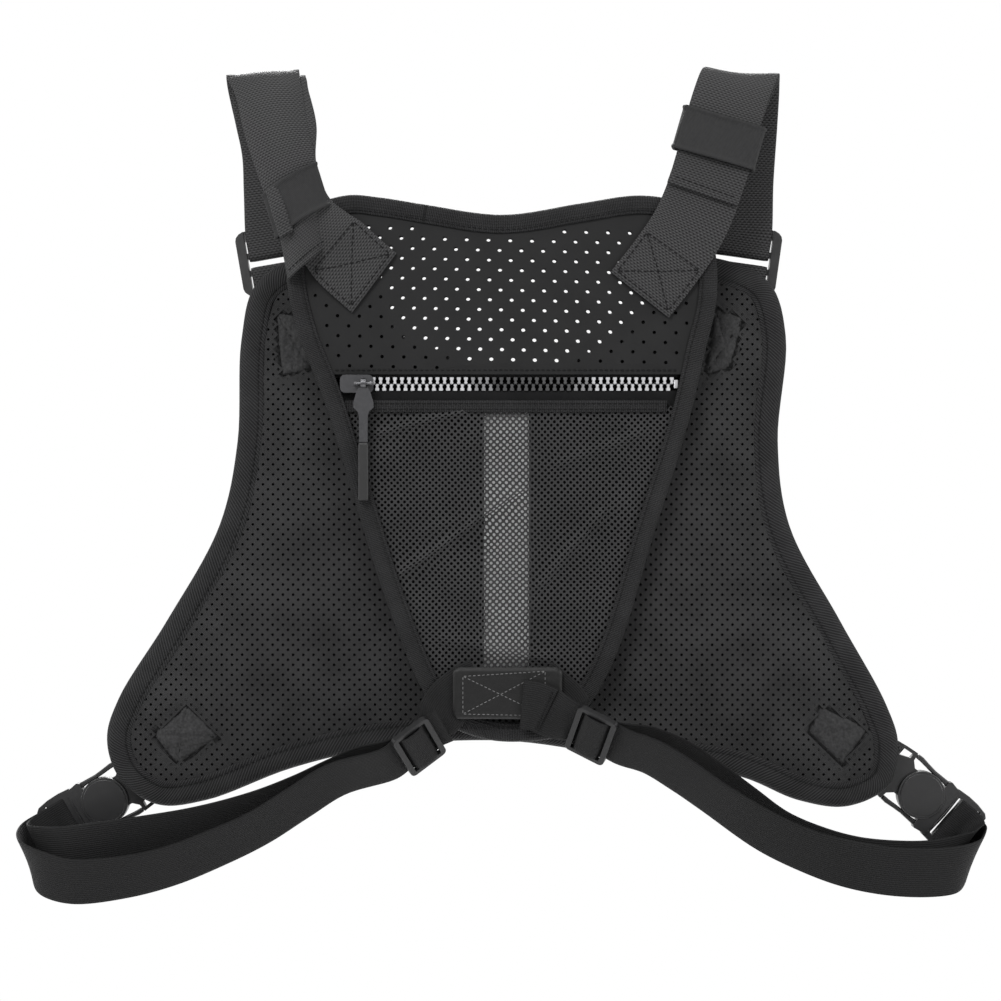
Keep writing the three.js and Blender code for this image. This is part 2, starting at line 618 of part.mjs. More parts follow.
// webbing folded round the lock's lowest bar; both layers are sewn to the chest shell
const SHOULDER_TAB = [
  [-56, 2.7], [-30, 2.7], [-14, 2.6], [-6.5, 2.6], [-4, 2.55], [-2.8, 1.9], [-2.4, 0],
  [-2.8, -1.9], [-4, -2.55], [-6.5, -2.5], [-10, -1.4], [-16, 1], [-30, 1.05], [-56, 1.05],
];

function makeShoulderLock(side, centre, across, up) {
  const group = orientedGroup(centre, across, up);
  addMesh(group, `shoulder_adjuster_${side}`, makeAdjuster(), PLASTIC);
  const tab = ribbon(SHOULDER_TAB.map(([y, z]) => [0, y, z, 1, 0, 0]), SHOULDER_WEB, WEB_THICKNESS);
  addMesh(group, `shoulder_tab_${side}`, tab, WEBBING);
  return group;
}

const leftLock = makeShoulderLock('left', [-113.5, ADJUSTER_Y, -91], [0.985, 0, 0.17], [-0.17, 0, 0.985]);
const rightLock = makeShoulderLock('right', [120.8, ADJUSTER_Y, -91], [0.99, 0, -0.14], [0.14, 0, 0.99]);

// ---------------------------------------------------------------- shoulder straps
// down in front of the upper bars, under the strap bar and up again behind
const LOCK_LOOP = [
  [14, 2.6], [7, 2.6], [3, 2.55], [1.8, 1.9], [1.4, 0], [1.8, -1.9], [3, -2.55], [7, -2.6], [15, -2.6],
];
function lockPass(group) {
  return LOCK_LOOP.map(([y, z]) => stationIn(group, 0, y, z, [1, 0, 0]));
}

const shoulderLeft = [
  [-65.5, -19.1, -107, 0.6, 0, 0.8],
  [-81, -19.1, -96, 0.6, 0, 0.8],
  [-95, -19.4, -83, 0.72, 0, 0.69],
  [-103, -19.9, -66, 0.93, 0, 0.37],
  [-109, -19.6, -45, 0.955, 0, 0.3],
  [-116, -17, -20, 0.97, 0, 0.24],
  [-121.5, -11, -4.5, 0.99, 0, 0.12],
  [-124.5, -2.5, 0.7, 1, 0, 0.06],
  [-125, 4.5, -4, 1, 0, 0.08],
  [-123, 8, -20, 0.99, 0, 0.1],
  [-118.5, 9.4, -52, 0.99, 0, 0.12],
  ...lockPass(leftLock),
  [-118.8, 12, -52, 0.99, 0, 0.12],
  [-123.2, 10.4, -20, 0.99, 0, 0.1],
  [-125.3, 6.5, -2.4, 1, 0, 0.08],
  [-124.7, -2.5, 3, 1, 0, 0.06],
  [-121.2, -12.6, -2.8, 0.99, 0, 0.12],
  [-115.6, -19.3, -19.5, 0.97, 0, 0.24],
  [-108.8, -22, -45, 0.955, 0, 0.3],
  [-103.6, -22.4, -66, 0.93, 0, 0.37],
  [-101, -22.9, -82, 0.85, 0, 0.5],
  [-99.5, -23, -94, 0.8, 0, 0.6],
];
addMesh(vest, 'shoulder_strap_left', ribbon(shoulderLeft, SHOULDER_WEB, WEB_THICKNESS), WEBBING);

const shoulderRight = [
  [70.5, -19.1, -113, 0.73, 0, -0.68],
  [83, -19.1, -97, 0.79, 0, -0.61],
  [94, -19.4, -81, 0.84, 0, -0.54],
  [101.5, -19.9, -65, 0.9, 0, -0.43],
  [107.5, -19.6, -46, 0.93, 0, -0.36],
  [114.5, -17, -21, 0.94, 0, -0.33],
  [120.8, -11, -4.5, 0.97, 0, -0.2],
  [124.7, -2.5, 0.7, 1, 0, -0.05],
  [125.8, 4.5, -4, 1, 0, -0.04],
  [125.3, 8, -20, 1, 0, -0.05],
  [123.3, 9.4, -52, 1, 0, -0.06],
  ...lockPass(rightLock),
  [123.4, 12, -52, 1, 0, -0.06],
  [125.5, 10.4, -20, 1, 0, -0.05],
  [126, 6.5, -2.4, 1, 0, -0.04],
  [124.9, -2.5, 3, 1, 0, -0.05],
  [120.6, -12.6, -2.8, 0.97, 0, -0.2],
  [114.2, -19.3, -20.5, 0.94, 0, -0.33],
  [107.7, -22, -46, 0.93, 0, -0.36],
  [102.3, -22.5, -62, 0.91, 0, -0.4],
];
addMesh(vest, 'shoulder_strap_right', ribbon(shoulderRight, SHOULDER_WEB, WEB_THICKNESS), WEBBING);

// ---------------------------------------------------------------- strap keepers
const KEEPER = { length: 23, width: 41.5, thickness: 6.4, wall: 0.9 };

function makeKeeper(name, centre, across, up) {
  const group = orientedGroup(centre, across, up);
  const { length, width, thickness, wall } = KEEPER;
  const outer = block(-width / 2, width / 2, -length / 2, length / 2, -thickness / 2, thickness / 2);
  const halfGap = width / 2 - wall;
  const halfDepth = thickness / 2 - wall;
  const inner = block(-halfGap, halfGap, -length, length, -halfDepth, halfDepth);
  addMesh(group, name, cut(outer, inner), ELASTIC);
}

makeKeeper('strap_keeper_left', [-106.4, -21, -56], [0.96, 0, 0.28], [-0.28, 0.02, 0.96]);
makeKeeper('strap_keeper_right', [111, -19.7, -33], [0.96, 0, -0.28], [0.28, 0.1, 0.955]);

export default vest;
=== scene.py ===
"""The look of the harness vest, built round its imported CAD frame. Lengths are in mm until a mesh is made."""
import math

import bmesh
import bpy
import numpy as np
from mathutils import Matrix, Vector
from mathutils.bvhtree import BVHTree
from mathutils.geometry import delaunay_2d_cdt


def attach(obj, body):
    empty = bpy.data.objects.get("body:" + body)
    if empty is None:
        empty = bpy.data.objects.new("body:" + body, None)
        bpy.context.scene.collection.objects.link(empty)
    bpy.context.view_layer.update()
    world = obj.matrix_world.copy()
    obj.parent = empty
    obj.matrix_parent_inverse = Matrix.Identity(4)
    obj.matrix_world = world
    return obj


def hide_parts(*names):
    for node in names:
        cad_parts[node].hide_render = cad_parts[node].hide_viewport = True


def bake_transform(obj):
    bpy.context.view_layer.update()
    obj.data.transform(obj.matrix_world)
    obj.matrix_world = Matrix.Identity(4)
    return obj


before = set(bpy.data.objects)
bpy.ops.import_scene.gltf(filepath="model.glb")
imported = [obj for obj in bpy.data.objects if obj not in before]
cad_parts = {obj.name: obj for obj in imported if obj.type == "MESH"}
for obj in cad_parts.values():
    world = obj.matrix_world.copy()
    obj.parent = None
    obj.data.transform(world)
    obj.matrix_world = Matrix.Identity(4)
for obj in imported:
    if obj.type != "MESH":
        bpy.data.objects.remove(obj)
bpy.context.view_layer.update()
MM = 0.001

# ---------------------------------------------------------------- camera
CAMERA_AT = (-0.0008, -1.230, -0.2184)
camera_data = bpy.data.cameras.new("camera")
camera_data.lens = 85
camera_data.sensor_width = 36
camera = bpy.data.objects.new("camera", camera_data)
camera.location = CAMERA_AT
camera.rotation_euler = (math.radians(90), 0, 0)
bpy.context.collection.objects.link(camera)
bpy.context.scene.camera = camera
bpy.context.scene.view_settings.view_transform = "Standard"


# ---------------------------------------------------------------- material kit
DARKEST_TINT = 0.02


class Shade:
    """A small helper for wiring up one material's nodes."""

    def __init__(self, name, color, roughness, uv=False, specular=0.5, metallic=0.0, sheen=0.0):
        self.material = bpy.data.materials.new(name)
        self.material.use_nodes = True
        self.tree = self.material.node_tree
        self.shader = self.tree.nodes["Principled BSDF"]
        self.color = color
        for socket, value in (
            ("Base Color", (*color, 1)), ("Roughness", roughness), ("Specular IOR Level", specular),
            ("Metallic", metallic), ("Sheen Weight", sheen), ("Sheen Roughness", 0.45),
        ):
            self.shader.inputs[socket].default_value = value
        self.heights = []
        coord = self.tree.nodes.new("ShaderNodeUVMap" if uv else "ShaderNodeTexCoord")
        self.point = coord.outputs["UV" if uv else "Object"]
        split = self.tree.nodes.new("ShaderNodeSeparateXYZ")
        self.tree.links.new(self.point, split.inputs[0])
        self.u = split.outputs[0]
        self.v = split.outputs[1 if uv else 2]

    def feed(self, node, index, value):
        if hasattr(value, "links"):
            self.tree.links.new(value, node.inputs[index])
        else:
            node.inputs[index].default_value = value

    def math(self, operation, a, b=0.0):
        node = self.tree.nodes.new("ShaderNodeMath")
        node.operation = operation
        self.feed(node, 0, a)
        self.feed(node, 1, b)
        return node.outputs[0]

    def sine(self, along, period_mm):
        return self.math("SINE", self.math("MULTIPLY", along, 2 * math.pi / (period_mm * MM)))

    def raised(self, signed):
        """A -1..1 pattern brought to 0..1."""
        return self.math("ADD", self.math("MULTIPLY", signed, 0.5), 0.5)

    def wave(self, along, period_mm):
        """A 0..1 ripple along one coordinate."""
        return self.raised(self.sine(along, period_mm))

    def weave(self, period_u, period_v):
        """A 0..1 chequer of raised and sunken spots."""
        return self.raised(self.math("MULTIPLY", self.sine(self.u, period_u), self.sine(self.v, period_v)))

    def diagonal(self, period_mm, slope=1.0):
        return self.wave(self.math("ADD", self.u, self.math("MULTIPLY", self.v, slope)), period_mm)

    def noise(self, size_mm, detail=3.0):
        node = self.tree.nodes.new("ShaderNodeTexNoise")
        node.inputs["Scale"].default_value = 1 / (size_mm * MM)
        node.inputs["Detail"].default_value = detail
        self.tree.links.new(self.point, node.inputs["Vector"])
        return node.outputs[0]

    def mix(self, first, share, second):
        """Two patterns added up, with the given share of the first."""
        return self.math("ADD", self.math("MULTIPLY", first, share), self.math("MULTIPLY", second, 1 - share))

    def raise_by(self, pattern, depth_mm):
        self.heights.append(self.math("MULTIPLY", pattern, depth_mm))
        return self

    def tint(self, pattern, low, high):
        """Colour between low and high times the base, following a 0..1 pattern."""
        node = self.tree.nodes.new("ShaderNodeMix")
        node.data_type = "RGBA"
        self.tree.links.new(pattern, node.inputs[0])
        node.inputs[6].default_value = (*[c * max(low, DARKEST_TINT) for c in self.color], 1)
        node.inputs[7].default_value = (*[c * high for c in self.color], 1)
        self.tree.links.new(node.outputs[2], self.shader.inputs["Base Color"])
        return self

    def gloss(self, pattern, low, high):
        """Roughness between low and high, following a 0..1 pattern."""
        node = self.tree.nodes.new("ShaderNodeMapRange")
        self.tree.links.new(pattern, node.inputs[0])
        node.inputs["To Min"].default_value = low
        node.inputs["To Max"].default_value = high
        self.tree.links.new(node.outputs[0], self.shader.inputs["Roughness"])
        return self

    def done(self):
        """Joins all raised patterns into one bump and gives the material."""
        if self.heights:
            total = self.heights[0]
            for extra in self.heights[1:]:
                total = self.math("ADD", total, extra)
            bump = self.tree.nodes.new("ShaderNodeBump")
            bump.inputs["Strength"].default_value = 1.0
            bump.inputs["Distance"].default_value = MM
            self.tree.links.new(total, bump.inputs["Height"])
            self.tree.links.new(bump.outputs[0], self.shader.inputs["Normal"])
        return self.material


def cloth(name, color, roughness=0.85, uv=False, sheen=0.0025):
    return Shade(name, color, roughness, uv=uv, specular=0.05, sheen=sheen)


def uneven(s, bumps, tint, gloss=()):
    """Finishes a material with noise alone. bumps lists (size, depth, detail); tint and gloss are
    (size, low, high)."""
    for size, depth, *detail in bumps:
        s.raise_by(s.noise(size, *detail), depth)
    s.tint(s.noise(tint[0]), *tint[1:])
    if gloss:
        s.gloss(s.noise(gloss[0]), *gloss[1:])
    return s.done()


def spacer_mesh():
    s = cloth("spacer_mesh", (0.0118, 0.0118, 0.0120), 0.78, sheen=0.0035)
    knit = s.math("MULTIPLY", s.diagonal(0.9, 1.0), s.diagonal(0.9, -1.0))
    s.raise_by(knit, 0.12).raise_by(s.noise(6), 0.25)
    # the colour follows the knit's height, darker in its hollows: painted shade, mixed with random tone
    s.tint(s.mix(knit, 0.6, s.noise(25)), 0.1, 2.2)
    return s.done()


def shell_cloth():
    s = cloth("shell_cloth", (0.0085, 0.0085, 0.0087), 0.8)
    grid = s.weave(0.8, 0.8)
    s.raise_by(grid, 0.1).raise_by(s.noise(30), 0.5)
    # the colour follows the weave's height, darker in its hollows: painted shade, mixed with random tone
    s.tint(s.mix(grid, 0.6, s.noise(40)), 0.7, 1.25)
    return s.done()


def deep_cloth():
    s = cloth("pocket_backing", (0.0014, 0.0014, 0.0015), 0.9)
    grid = s.weave(0.8, 0.8)
    s.raise_by(grid, 0.1).raise_by(s.noise(30), 0.4)
    # the colour follows the weave's height, darker in its hollows: painted shade
    s.tint(grid, 0.6, 1.4)
    return s.done()


def tape_cloth(name, rib, slope, lengthwise=None, color=(0.0074, 0.0074, 0.0076)):
    """Ribbed tape; rib is the period of its slanting ribs and lengthwise of ridges along it."""
    s = cloth(name, color, 0.72, uv=True, sheen=0.003)
    ribs = s.diagonal(rib, slope)
    s.raise_by(ribs, 0.3)
    if lengthwise:
        s.raise_by(s.wave(s.v, lengthwise), 0.22)
    s.raise_by(s.noise(7), 0.25)
    # the colour follows the ribs' height, darker between them: painted shade, mixed with random tone
    s.tint(s.mix(ribs, 0.6, s.noise(15)), 0.0, 2.0)
    return s.done()


def webbing_cloth():
    s = cloth("webbing", (0.0120, 0.0120, 0.0122), 0.6, uv=True, sheen=0.002)
    grid = s.weave(2.5, 2.3)
    rows = s.wave(s.u, 1.25)
    s.raise_by(grid, 0.16).raise_by(rows, 0.09).raise_by(s.noise(0.4, 2), 0.05)
    # the colour follows the weave's and rows' height, darker in their hollows: painted shade
    s.tint(s.mix(grid, 0.5, rows), 0.0, 2.1)
    return s.done()


def elastic_cloth():
    s = cloth("elastic", (0.0046, 0.0046, 0.0047), 0.75, uv=True, sheen=0.003)
    ribs = s.wave(s.v, 1.05)
    s.raise_by(ribs, 0.12).raise_by(s.wave(s.u, 0.7), 0.06).raise_by(s.noise(5), 0.12)
    # the colour follows the ribs' height, darker between them: painted shade, mixed with random tone
    s.tint(s.mix(ribs, 0.4, s.noise(0.9, 2)), 0.1, 1.8)
    return s.done()


def keeper_cloth():
    s = cloth("keeper_elastic", (0.0098, 0.0098, 0.0100), 0.7, uv=True)
    picks = s.diagonal(0.8, 0.6)
    s.raise_by(picks, 0.1).raise_by(s.noise(6), 0.2)
    # the colour follows the picks' height, darker between them: painted shade, mixed with random tone
    s.tint(s.mix(picks, 0.5, s.noise(2)), 0.5, 1.5)
    return s.done()


def reflective_cloth():
    # pale like reflective tape, and raised brighter still to make up for the shade of the netting over it:
    # partly painted light
    s = Shade("reflective", (0.44, 0.442, 0.446), 0.5, specular=0.3, metallic=0.1)
    beads = s.noise(0.25, 1)
    s.raise_by(beads, 0.05).raise_by(s.noise(14), 0.3)
    # the colour follows the beads' height, darker between them: painted shade, mixed with random tone
    s.tint(s.mix(beads, 0.5, s.noise(30)), 0.75, 1.2)
    return s.done()


def zip_metal(name, color, roughness):
    s = Shade(name, color, roughness, metallic=1.0)
    scratches = s.noise(0.6, 5)
    s.raise_by(scratches, 0.02)
    s.gloss(scratches, roughness * 0.8, roughness * 1.35)
    s.tint(s.noise(2), 0.8, 1.15)
    return s.done()


def thread(name, color):
    s = Shade(name, color, 0.7, specular=0.06)
    s.raise_by(s.diagonal(0.5), 0.1)
    s.tint(s.noise(1.5), 0.8, 1.2)
    return s.done()


SPACER, SHELL, DEEP = spacer_mesh(), shell_cloth(), deep_cloth()
CHEST_TAPE = tape_cloth("chest_tape", 1.8, 0.9)
BACK_TAPE = tape_cloth("back_tape", 0.9, 0.0, 1.5)
ZIP_TAPE = tape_cloth("zip_tape", 0.7, 1.0, color=(0.0045, 0.0045, 0.0047))
WEBBING, ELASTIC, KEEPER_CLOTH = webbing_cloth(), elastic_cloth(), keeper_cloth()
REFLECTIVE = reflective_cloth()
# a darker cloth: painted shade along the sewn squares' grooves; on the base panel behind the yoke it is
# lighter than the pocket backing, a painted light there
CREASE = uneven(cloth("crease", (0.0056, 0.0056, 0.0057)), [(2, 0.2)], (1.5, 0.5, 1.6))
NAP = uneven(cloth("brushed_nap", (0.0112, 0.0112, 0.0114)), [(1.1, 0.35)], (1.3, 0.2, 2.0))
# near-black cloth for the chest lining's pits: painted shade in them
PIT = uneven(Shade("mesh_pit_shade", (0.0012, 0.0012, 0.0012), 0.95, specular=0.02), [], (3, 0.8, 1.2))
NEOPRENE = uneven(cloth("neoprene", (0.0056, 0.0056, 0.0057), 0.6, sheen=0.002),
                  [(0.5, 0.05, 2), (40, 0.3)], (18, 0.75, 1.25), (9, 0.55, 0.7))
NETTING = uneven(cloth("netting", (0.0110, 0.0110, 0.0112), 0.6, sheen=0.0015),
                 [(0.3, 0.06, 2)], (20, 0.7, 1.5))
PATCH_SKIN = uneven(Shade("patch_skin", (0.0036, 0.0036, 0.0036), 0.45, specular=0.1),
                    [(0.7, 0.1, 4)], (6, 0.8, 1.2), (3, 0.38, 0.55))
PLASTIC = uneven(Shade("moulded_plastic", (0.0040, 0.0040, 0.0042), 0.3, specular=0.24),
                 [(0.35, 0.03), (8, 0.08)], (5, 0.85, 1.15), (4, 0.3, 0.46))
MATT_PLASTIC = uneven(Shade("matt_plastic", (0.0026, 0.0026, 0.0028), 0.45, specular=0.11),
                      [(0.3, 0.04), (7, 0.1)], (4, 0.8, 1.2), (3, 0.38, 0.55))
GRIP = uneven(Shade("grip_rubber", (0.0032, 0.0032, 0.0033), 0.5, specular=0.2),
              [(2.5, 0.1), (0.4, 0.03, 2)], (5, 0.8, 1.2))
# zip metal in three tones, bright, grey and dark: painted reflections along the teeth; the end stops take the
# bright one
BRIGHT = zip_metal("zip_bright", (0.40, 0.40, 0.41), 0.3)
GREYED = zip_metal("zip_greyed", (0.16, 0.16, 0.164), 0.33)
DARK_REFLECTION = zip_metal("zip_dark_reflection", (0.055, 0.055, 0.056), 0.35)
GUNMETAL = zip_metal("gunmetal", (0.044, 0.044, 0.046), 0.34)
DARK_THREAD = thread("dark_thread", (0.0030, 0.0030, 0.0031))
PALE_THREAD = thread("pale_thread", (0.055, 0.055, 0.055))


# ---------------------------------------------------------------- shapes in numbers
def unit(v):
    v = np.asarray(v, float)
    return v / np.maximum(np.linalg.norm(v, axis=-1, keepdims=True), 1e-12)


def spline(points, per_span=8, closed=False):
    """A smooth path through points: centripetal Catmull-Rom."""
    p = np.asarray(points, float)
    if closed:
        p = np.vstack([p[-1:], p, p[:2]])
    else:
        p = np.vstack([2 * p[0] - p[1], p, 2 * p[-1] - p[-2]])
    gap = np.maximum(np.linalg.norm(np.diff(p[:, :3], axis=0), axis=1) ** 0.5, 1e-4)
    out = []
    for i in range(1, len(p) - 2):
        a, b, c = gap[i - 1], gap[i], gap[i + 1]
        m1 = ((p[i] - p[i - 1]) / a - (p[i + 1] - p[i - 1]) / (a + b) + (p[i + 1] - p[i]) / b) * b
        m2 = ((p[i + 1] - p[i]) / b - (p[i + 2] - p[i]) / (b + c) + (p[i + 2] - p[i + 1]) / c) * b
        t = np.arange(per_span)[:, None] / per_span
        h = 2 * t**3 - 3 * t**2
        out.append((h + 1) * p[i] + (t**3 - 2 * t**2 + t) * m1 - h * p[i + 1] + (t**3 - t**2) * m2)
    if not closed:
        out.append(p[-2:-1])
    return np.vstack(out)


def resample(path, step, closed=False):
    """The same path with evenly spaced points; distance is measured in its first three columns."""
    p = np.vstack([path, path[:1]]) if closed else path
    run = run_along(p[:, :3])
    count = max(2, int(round(run[-1] / step)))
    at = np.linspace(0, run[-1], count + 1)
    out = np.stack([np.interp(at, run, p[:, k]) for k in range(p.shape[1])], 1)
    return (out[:-1], run[-1]) if closed else (out, run[-1])


def smooth_ring(values, passes):
    for _ in range(passes):
        values = (np.roll(values, 1, 0) + values + np.roll(values, -1, 0)) / 3
    return values


def inward(outline):
    """Unit inward normals of a counter-clockwise [x, z] outline, eased round sharp corners."""
    along = unit(np.roll(outline, -1, 0) - np.roll(outline, 1, 0))
    return unit(smooth_ring(np.stack([-along[:, 1], along[:, 0]], 1), 4))


def shrunk(outline, distance):
    return outline + inward(outline) * distance


def segment_distance(points, a, b):
    """Distance from each [x, z] point to the straight line between two others."""
    a, b = np.asarray(a, float), np.asarray(b, float)
    d = b - a
    t = np.clip(((points - a) @ d) / max(d @ d, 1e-9), 0, 1)
    return np.linalg.norm(points - a - t[:, None] * d, axis=1)


def edge_distance(points, outline):
    """Distance from each [x, z] point to a closed outline."""
    best = np.full(len(points), 1e9)
    for p, q in zip(outline, np.roll(outline, -1, 0)):
        best = np.minimum(best, segment_distance(points, p, q))
    return best


def inside(points, outline):
    """Whether each [x, z] point lies inside a closed outline."""
    x, z = points[:, 0], points[:, 1]
    odd = np.zeros(len(points), bool)
    for (x0, z0), (x1, z1) in zip(outline, np.roll(outline, -1, 0)):
        if z0 == z1:
            continue
        crosses = (z0 > z) != (z1 > z)
        odd ^= crosses & (x < (x1 - x0) * (z - z0) / (z1 - z0) + x0)
    return odd


def ripple(points, seed, size):
    """Smooth, repeatable unevenness at [x, z] points, about -1..1: four waves and four of half the size."""
    rng = np.random.default_rng(seed)
    total = np.zeros(len(points))
    for fineness in (1, 1, 1, 1, 2, 2, 2, 2):
        angle, phase = rng.uniform(0, math.tau, 2)
        pitch = size * rng.uniform(0.6, 1.6) / fineness
        along = points[:, 0] * math.cos(angle) + points[:, 1] * math.sin(angle)
        total += np.sin(along * math.tau / pitch + phase) / fineness
    return total / 4.4


def rise(distance, reach):
    """A soft step: 0 at no distance, nearly 1 beyond a few times its reach."""
    return 1 - np.exp(-np.clip(distance, 0, None) / reach)


def bell(distance, width):
    return np.exp(-((distance / width) ** 2))


def run_along(path):
    """Distance run along a path at each of its points."""
    return np.concatenate([[0], np.cumsum(np.linalg.norm(np.diff(path, axis=0), axis=1))])


def upright(flat, y):
    """[x, y, z] points from flat [x, z] points and their y."""
    return np.stack([flat[:, 0], y, flat[:, 1]], 1)


def level(y):
    """A height function that is y everywhere."""
    return lambda points, gap=None: np.full(len(points), y)


def tube_faces(rings, size, closed=False):
    """Faces between rings of size points each, and from the last ring to the first if closed."""
    faces = []
    for i in range(rings if closed else rings - 1):
        near, far = i * size, (i + 1) % rings * size
        for k in range(size):
            beside = (k + 1) % size
            faces.append((near + k, near + beside, far + beside, far + k))
    return faces


def register(name, mesh, body, replaces):
    """Makes an object of a mesh and says which body it rides and the CAD nodes it replaces."""
    obj = bpy.data.objects.new(name, mesh)
    bpy.context.collection.objects.link(obj)
    if body:
        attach(obj, body)
    if replaces:
        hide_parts(*replaces)
    return obj


def piece(name, vertices, faces, material, slot, body="vest", replaces=(), uv=None, smooth=True):
    """A piece from its vertices in mm. material is one material or a list of them."""
    mesh = bpy.data.meshes.new(name)
    mesh.from_pydata((np.asarray(vertices, float) * MM).tolist(), [], faces)
    if uv is not None:
        layer = mesh.uv_layers.new(name="UVMap")
        index = np.empty(len(mesh.loops), np.int32)
        mesh.loops.foreach_get("vertex_index", index)
        layer.data.foreach_set("uv", (np.asarray(uv, float)[index] * MM).ravel())
    mesh.polygons.foreach_set("use_smooth", [smooth] * len(mesh.polygons))
    mesh.update()
    for one in material if isinstance(material, (list, tuple)) else [material]:
        mesh.materials.append(one)
    return register(name, mesh, body, replaces)


class Edited:
    """A mesh opened for editing; the with block gets its bmesh, which is written back at the end."""

    def __init__(self, mesh):
        self.mesh, self.open = mesh, bmesh.new()

    def __enter__(self):
        self.open.from_mesh(self.mesh)
        return self.open

    def __exit__(self, *problem):
        self.open.to_mesh(self.mesh)
        self.open.free()


def crisp_rims(obj):
    """Keeps the shading flat up to every open edge, so that holes look punched."""
    with Edited(obj.data) as bm:
        for edge in bm.edges:
            edge.smooth = len(edge.link_faces) > 1


def face_outward(obj, way=None):
    """Makes a piece's normals agree; for an open sheet, way is the sign of Y they should point along."""
    with Edited(obj.data) as bm:
        bmesh.ops.recalc_face_normals(bm, faces=bm.faces)
        if way and sum(f.normal.y for f in bm.faces) * way < 0:
            bmesh.ops.reverse_faces(bm, faces=bm.faces)


def round_edges(bm, flat_angle, sharp_angle, radius, segments=3):
    """Merges flat faces, then rounds the edges that are sharper than an angle in degrees."""
    bmesh.ops.dissolve_limit(bm, angle_limit=math.radians(flat_angle), verts=bm.verts, edges=bm.edges)
    sharp = [e for e in bm.edges
             if len(e.link_faces) == 2 and e.calc_face_angle(0) > math.radians(sharp_angle)]
    bmesh.ops.bevel(bm, geom=sharp, offset=radius * MM, offset_type="OFFSET", segments=segments, profile=0.5,
                    affect="EDGES", clamp_overlap=True)


def thin_sheet(obj, thickness_mm):
    """Gives an open sheet that faces -Y its punched rims and its thickness."""
    face_outward(obj, -1)
    crisp_rims(obj)
    mod = obj.modifiers.new("thickness", "SOLIDIFY")
    mod.thickness = thickness_mm * MM
    mod.offset = -1


def triangulated(loops, extra=()):
    """Points and triangles inside the first loop, keeping every loop's edges and using the extra points."""
    points, edges, start = [], [], 0
    for loop in loops:
        points.extend(Vector(p) for p in loop)
        edges.extend((start + k, start + (k + 1) % len(loop)) for k in range(len(loop)))
        start += len(loop)
    points.extend(Vector(p) for p in extra)
    result = delaunay_2d_cdt(points, edges, [list(range(len(loops[0])))], 1, 1e-4)
    return np.array([tuple(p) for p in result[0]]), [tuple(f) for f in result[2]]


def filled(outline, step, holes=()):
    """Triangles inside an outline, with a grid of inner points, leaving out round holes (x, z, r)."""
    outline = np.asarray(outline, float)
    lo, hi = outline.min(0), outline.max(0)
    xs, zs = np.arange(lo[0], hi[0], step), np.arange(lo[1], hi[1], step)
    grid = np.array([(x + (k % 2) * step / 2, z) for k, z in enumerate(zs) for x in xs])
    grid = grid[inside(grid, outline)]
    grid = grid[edge_distance(grid, outline) > step * 0.6]
    turn = np.arange(12) * math.tau / 12
    rings = []
    for x, z, r in holes:
        rings.append(np.stack([x + r * np.cos(turn), z + r * np.sin(turn)], 1))
        grid = grid[np.hypot(grid[:, 0] - x, grid[:, 1] - z) > r + step * 0.35]
    flat, triangles = triangulated([outline, *rings], grid)
    if len(holes):
        centre = np.array([flat[list(f)].mean(0) for f in triangles])
        keep = np.ones(len(triangles), bool)
        for x, z, r in holes:
            keep &= np.hypot(centre[:, 0] - x, centre[:, 1] - z) > r * 0.93
        triangles = [f for f, k in zip(triangles, keep) if k]
    return flat, triangles


def slab(name, outline, front, back, material, step=5.0, **rest):
    """A closed padded panel. front and back give y from [x, z] points and their distance to the edge."""
    flat, triangles = filled(outline, step)
    gap = edge_distance(flat, np.asarray(outline))
    count = len(flat)
    vertices = np.vstack([upright(flat, front(flat, gap)), upright(flat, back(flat, gap))])
    faces = triangles + [tuple(count + i for i in reversed(f)) for f in triangles]
    used = {(a, b): True for f in triangles for a, b in zip(f, f[1:] + f[:1])}
    faces += [(b, a, a + count, b + count) for a, b in used if (b, a) not in used]
    return piece(name, vertices, faces, material, **rest)


SKIP_MARGIN = 0.6


def cells(outline, pitch_x, pitch_z, template, keep_inside, skip=()):
    """Copies a diamond-shaped cell over a staggered lattice wherever its centre is inside the outline.
    skip lists loops whose inside, and a little round them, is left without cells."""
    corners, cell_faces = template
    lo, hi = outline.min(0) - 20, outline.max(0) + 20
    centres = []
    for k, z in enumerate(np.arange(lo[1], hi[1], pitch_z / 2)):
        xs = np.arange(lo[0], hi[0], pitch_x) + (k % 2) * pitch_x / 2
        centres.append(np.stack([xs, np.full(len(xs), z)], 1))
    centres = np.vstack(centres)
    centres = centres[inside(centres, outline)]
    centres = centres[edge_distance(centres, outline) > keep_inside]
    for loop in skip:
        centres = centres[~inside(centres, loop) & (edge_distance(centres, loop) > SKIP_MARGIN)]
    spread = (centres[:, None, :] + corners[None, :, :2]).reshape(-1, 2)
    depth = np.tile(corners[:, 2], len(centres))
    key = np.round(np.column_stack([spread, depth]) * 200).astype(np.int64)
    _, first, back = np.unique(key, axis=0, return_index=True, return_inverse=True)
    back = back.ravel()
    size = len(corners)
    faces = [tuple(back[k * size + i] for i in f) for k in range(len(centres)) for f in cell_faces]
    return spread[first], depth[first], faces


